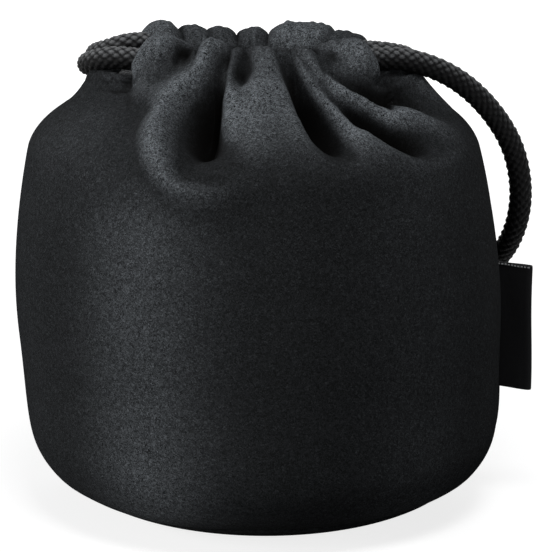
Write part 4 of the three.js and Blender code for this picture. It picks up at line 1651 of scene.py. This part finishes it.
    def dashes(self) -> list[Array]:
        """Places of the light selvedge threads along the top edge of both faces."""
        middle, out = self._profile()
        first, short = self.thread_places
        keep = (middle[:, 0] > first) & (middle[:, 0] < self.width - short)
        lines = []
        for sign in (-1, 1):
            face = keep & (np.sign(middle[:, 1]) == sign)
            flat = (middle + out * (self.ply / 2 + self.thread_lift))[face]
            lines.append(self._stand(flat, np.full(len(flat), self.height - self.thread_drop)))
        return lines


class ThreadRow:
    """Short threads set along a line by one Geometry Nodes group."""

    SIDES = 8

    def __init__(self, material: bpy.types.Material) -> None:
        """Builds the group.

        Args:
            material: Finish of the threads.
        """
        group = bpy.data.node_groups.new("thread_row", "GeometryNodeTree")
        group.interface.new_socket("Geometry", in_out="INPUT", socket_type="NodeSocketGeometry")
        self.spacing, self.length, self.radius = (
            group.interface.new_socket(name, in_out="INPUT", socket_type="NodeSocketFloat")
            for name in ("Spacing", "Length", "Radius"))
        group.interface.new_socket("Geometry", in_out="OUTPUT", socket_type="NodeSocketGeometry")
        start, end = group.nodes.new("NodeGroupInput"), group.nodes.new("NodeGroupOutput")
        curve, even, line, circle, tube, points, put, real, coat = (
            group.nodes.new(f"GeometryNode{kind}")
            for kind in ("MeshToCurve", "ResampleCurve", "CurvePrimitiveLine", "CurvePrimitiveCircle",
                         "CurveToMesh", "CurveToPoints", "InstanceOnPoints", "RealizeInstances",
                         "SetMaterial"))
        even.mode = "LENGTH"
        line.mode = "DIRECTION"
        line.inputs["Direction"].default_value = UP.tolist()
        circle.inputs["Resolution"].default_value = self.SIDES
        tube.inputs["Fill Caps"].default_value = True
        points.mode = "EVALUATED"
        coat.inputs["Material"].default_value = material
        for source, output, target, socket in (
                (start, "Geometry", curve, "Mesh"), (curve, "Curve", even, "Curve"),
                (start, "Spacing", even, "Length"), (start, "Length", line, "Length"),
                (start, "Radius", circle, "Radius"), (line, "Curve", tube, "Curve"),
                (circle, "Curve", tube, "Profile Curve"), (even, "Curve", points, "Curve"),
                (points, "Points", put, "Points"), (points, "Rotation", put, "Rotation"),
                (tube, "Mesh", put, "Instance"), (put, "Instances", real, "Geometry"),
                (real, "Geometry", coat, "Geometry"), (coat, "Geometry", end, "Geometry")):
            group.links.new(source.outputs[output], target.inputs[socket])
        self.group = group

    def make(self, name: str, lines: Sequence[Array], spacing: float, length: float,
             radius: float) -> bpy.types.Object:
        """Sets threads along lines and turns them into a plain mesh.

        Args:
            name: Name of the object.
            lines: Lines in millimetres.
            spacing: Distance between two threads.
            length: Length of a thread.
            radius: Radius of a thread.

        Returns:
            The object with all threads.
        """
        points = np.vstack(lines)
        edges, count = [], 0
        for line in lines:
            edges += [(count + k, count + k + 1) for k in range(len(line) - 1)]
            count += len(line)
        data = bpy.data.meshes.new(f"{name}_line")
        data.from_pydata((points * MM).tolist(), edges, [])
        made = placed(name, data)
        live = made.modifiers.new("threads", "NODES")
        live.node_group = self.group
        for socket, value in ((self.spacing, spacing), (self.length, length), (self.radius, radius)):
            live[socket.identifier] = value * MM
        graph = bpy.context.evaluated_depsgraph_get()
        plain = bpy.data.meshes.new_from_object(made.evaluated_get(graph))
        made.modifiers.clear()
        made.data = plain
        log.info("%s: %d faces", name, len(plain.polygons))
        return made


# Stage


@dataclass(frozen=True)
class Lamp:
    """A soft area lamp: where it stands, how large it is and how strong."""

    name: str
    place: Point
    size: float
    watts: float


class Studio:
    """Floor, backdrop, lamps and the camera at the photograph's angle, in metres.

    The floor glows for the camera, a little more from NEAR to FAR, and is a plain grey for the part.
    """

    TARGET = Vector((2.0, 0.0, 45.6)) * MM
    DISTANCE = 0.8
    ELEVATION = math.radians(14.0)
    FOCAL = 260.9
    SENSOR = 36.0
    CLIP_START = 0.01
    SKY = (0.9, 0.95, 1.0, 1.0)
    SKY_STRENGTH = 0.10
    FLOOR_RADIUS = 6.0
    FLOOR_HEIGHT = -0.0004
    FLOOR_SIDES = 64
    FLOOR_GREY = (0.16, 0.16, 0.16)
    FLOOR_SEEN = (0.32, 0.32, 0.32)
    NEAR = 0.1
    FAR = 0.5
    GLOW_NEAR = 0.8
    LAMPS = (
        Lamp("key", (-0.95, -0.44, 0.30), 0.5, 9.4),
        Lamp("top", (0.12, -0.48, 1.05), 0.4, 7.3),
        Lamp("fill", (0.70, -0.80, 0.12), 0.5, 1.6),
        Lamp("back", (0.25, 0.95, 0.60), 0.6, 3.0),
    )

    def make(self) -> None:
        """Builds the whole stage."""
        self._camera()
        self._lamps()
        self._world()
        self._floor()
        bpy.context.scene.view_settings.view_transform = "Standard"

    def _camera(self) -> None:
        """Makes the camera."""
        data = bpy.data.cameras.new("camera")
        data.lens = self.FOCAL
        data.sensor_width = self.SENSOR
        data.clip_start = self.CLIP_START
        eye = placed("camera", data)
        away = Vector((0.0, -math.cos(self.ELEVATION), math.sin(self.ELEVATION)))
        eye.location = self.TARGET + away * self.DISTANCE
        eye.rotation_euler = (-away).to_track_quat("-Z", "Y").to_euler()
        bpy.context.scene.camera = eye

    def _lamps(self) -> None:
        """Makes the lamps, all aimed at the pouch."""
        for lamp in self.LAMPS:
            data = bpy.data.lights.new(lamp.name, "AREA")
            data.size = lamp.size
            data.energy = lamp.watts
            made = placed(lamp.name, data)
            made.location = lamp.place
            aim = self.TARGET - made.location
            made.rotation_euler = aim.to_track_quat("-Z", "Y").to_euler()

    def _world(self) -> None:
        """A white backdrop for the camera and in reflections, and a dim even sky for the rest."""
        world = bpy.data.worlds.new("studio")
        bpy.context.scene.world = world
        world.use_nodes = True
        tree = world.node_tree
        tree.nodes.clear()
        end = tree.nodes.new("ShaderNodeOutputWorld")
        both = tree.nodes.new("ShaderNodeMixShader")
        white, dim = tree.nodes.new("ShaderNodeBackground"), tree.nodes.new("ShaderNodeBackground")
        white.inputs["Color"].default_value = (1.0, 1.0, 1.0, 1.0)
        dim.inputs["Color"].default_value = self.SKY
        dim.inputs["Strength"].default_value = self.SKY_STRENGTH
        ray = tree.nodes.new("ShaderNodeLightPath")
        seen = ray.outputs["Is Camera Ray"]
        for name in ("Is Glossy Ray", "Is Transmission Ray"):
            most = tree.nodes.new("ShaderNodeMath")
            most.operation = "MAXIMUM"
            tree.links.new(seen, most.inputs[0])
            tree.links.new(ray.outputs[name], most.inputs[1])
            seen = most.outputs[0]
        tree.links.new(seen, both.inputs[0])
        tree.links.new(dim.outputs[0], both.inputs[1])
        tree.links.new(white.outputs[0], both.inputs[2])
        tree.links.new(both.outputs[0], end.inputs["Surface"])

    def _floor(self) -> None:
        """A pale round floor under the pouch."""
        shader = Shader("floor")
        camera, glossy, through = (shader.node("ShaderNodeLightPath", {}, f"Is {ray} Ray")
                                   for ray in ("Camera", "Glossy", "Transmission"))
        seen = (camera + glossy + through).ramp(0.0, 1.0)
        away = shader.node("ShaderNodeVectorMath", {0: shader.place()}, "Value", operation="LENGTH")
        glow = seen * (away.ramp(self.NEAR, self.FAR) * (1.0 - self.GLOW_NEAR) + self.GLOW_NEAR)
        shader.set(Base_Color=shader.tint(seen, self.FLOOR_GREY, self.FLOOR_SEEN), Roughness=0.9,
                   Emission_Color=shader.tint(glow, (0.0, 0.0, 0.0), (1.0, 1.0, 1.0)))
        shader.set(Specular_IOR_Level=0.0, Emission_Strength=1.0)
        angle = np.linspace(0.0, 2 * math.pi, self.FLOOR_SIDES, endpoint=False)
        ring = np.stack([self.FLOOR_RADIUS * np.cos(angle), self.FLOOR_RADIUS * np.sin(angle),
                         np.full(self.FLOOR_SIDES, self.FLOOR_HEIGHT)], axis=-1)
        data = bpy.data.meshes.new("floor")
        data.from_pydata(ring.tolist(), [], [list(range(self.FLOOR_SIDES))])
        data.materials.append(shader.material)
        placed("floor", data)


class Pouch:
    """The whole dressed part, with the cuts of its panels and its label in metres."""

    PANEL_CUT = (0.151, 0.132)
    LABEL_CUT = (0.0256, 0.0155)
    STILL = Vector((0.0, -38.5, 74.5)) * MM
    WITH_LIP = Vector((0.0, -38.5, 86.0)) * MM

    def __init__(self) -> None:
        """Prepares the shape and the finishes."""
        self.shape = PouchShape()
        self.wardrobe = Wardrobe()

    def make(self) -> None:
        """Makes every piece and attaches most of them to their bodies."""
        Drawcords(self.shape).make(self.wardrobe)
        self._skins()
        Layers(self.shape).make(self.wardrobe)
        self._label()

    def _skins(self) -> None:
        """Makes both suede panels and the front one's side tucks."""
        grid = SkinGrid()
        front = PanelSkin(self.shape, Side.FRONT, FRONT_GATHERS, grid)
        made = front.make(self.wardrobe)
        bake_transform(made)
        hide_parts("front_panel", "front_neck")
        tucks = [SideTuck(front, name).make(self.wardrobe) for name in ("left", "right")]
        back = PanelSkin(self.shape, Side.BACK, BACK_GATHERS, grid)
        made = back.make(self.wardrobe)
        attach(made, "pouch")
        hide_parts("back_panel", "back_neck")

    def _label(self) -> None:
        """Makes the side label and its selvedge."""
        label = SideLabel()
        ribbon = label.make(self.wardrobe)
        dashes = ThreadRow(self.wardrobe.thread).make("label_selvedge", label.dashes(), spacing=0.72,
                                                      length=0.4, radius=0.16)
        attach(dashes, "label")


def corners(box: Sequence[Sequence[float]]) -> list[list[float]]:
    """Box corners as plain lists."""
    return [[float(v) for v in corner] for corner in box]


def main() -> None:
    """Dresses the part and sets the stage."""
    logging.basicConfig(level=logging.INFO)
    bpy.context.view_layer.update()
    Studio().make()
    Pouch().make()


if __name__ == "__main__":
    main()
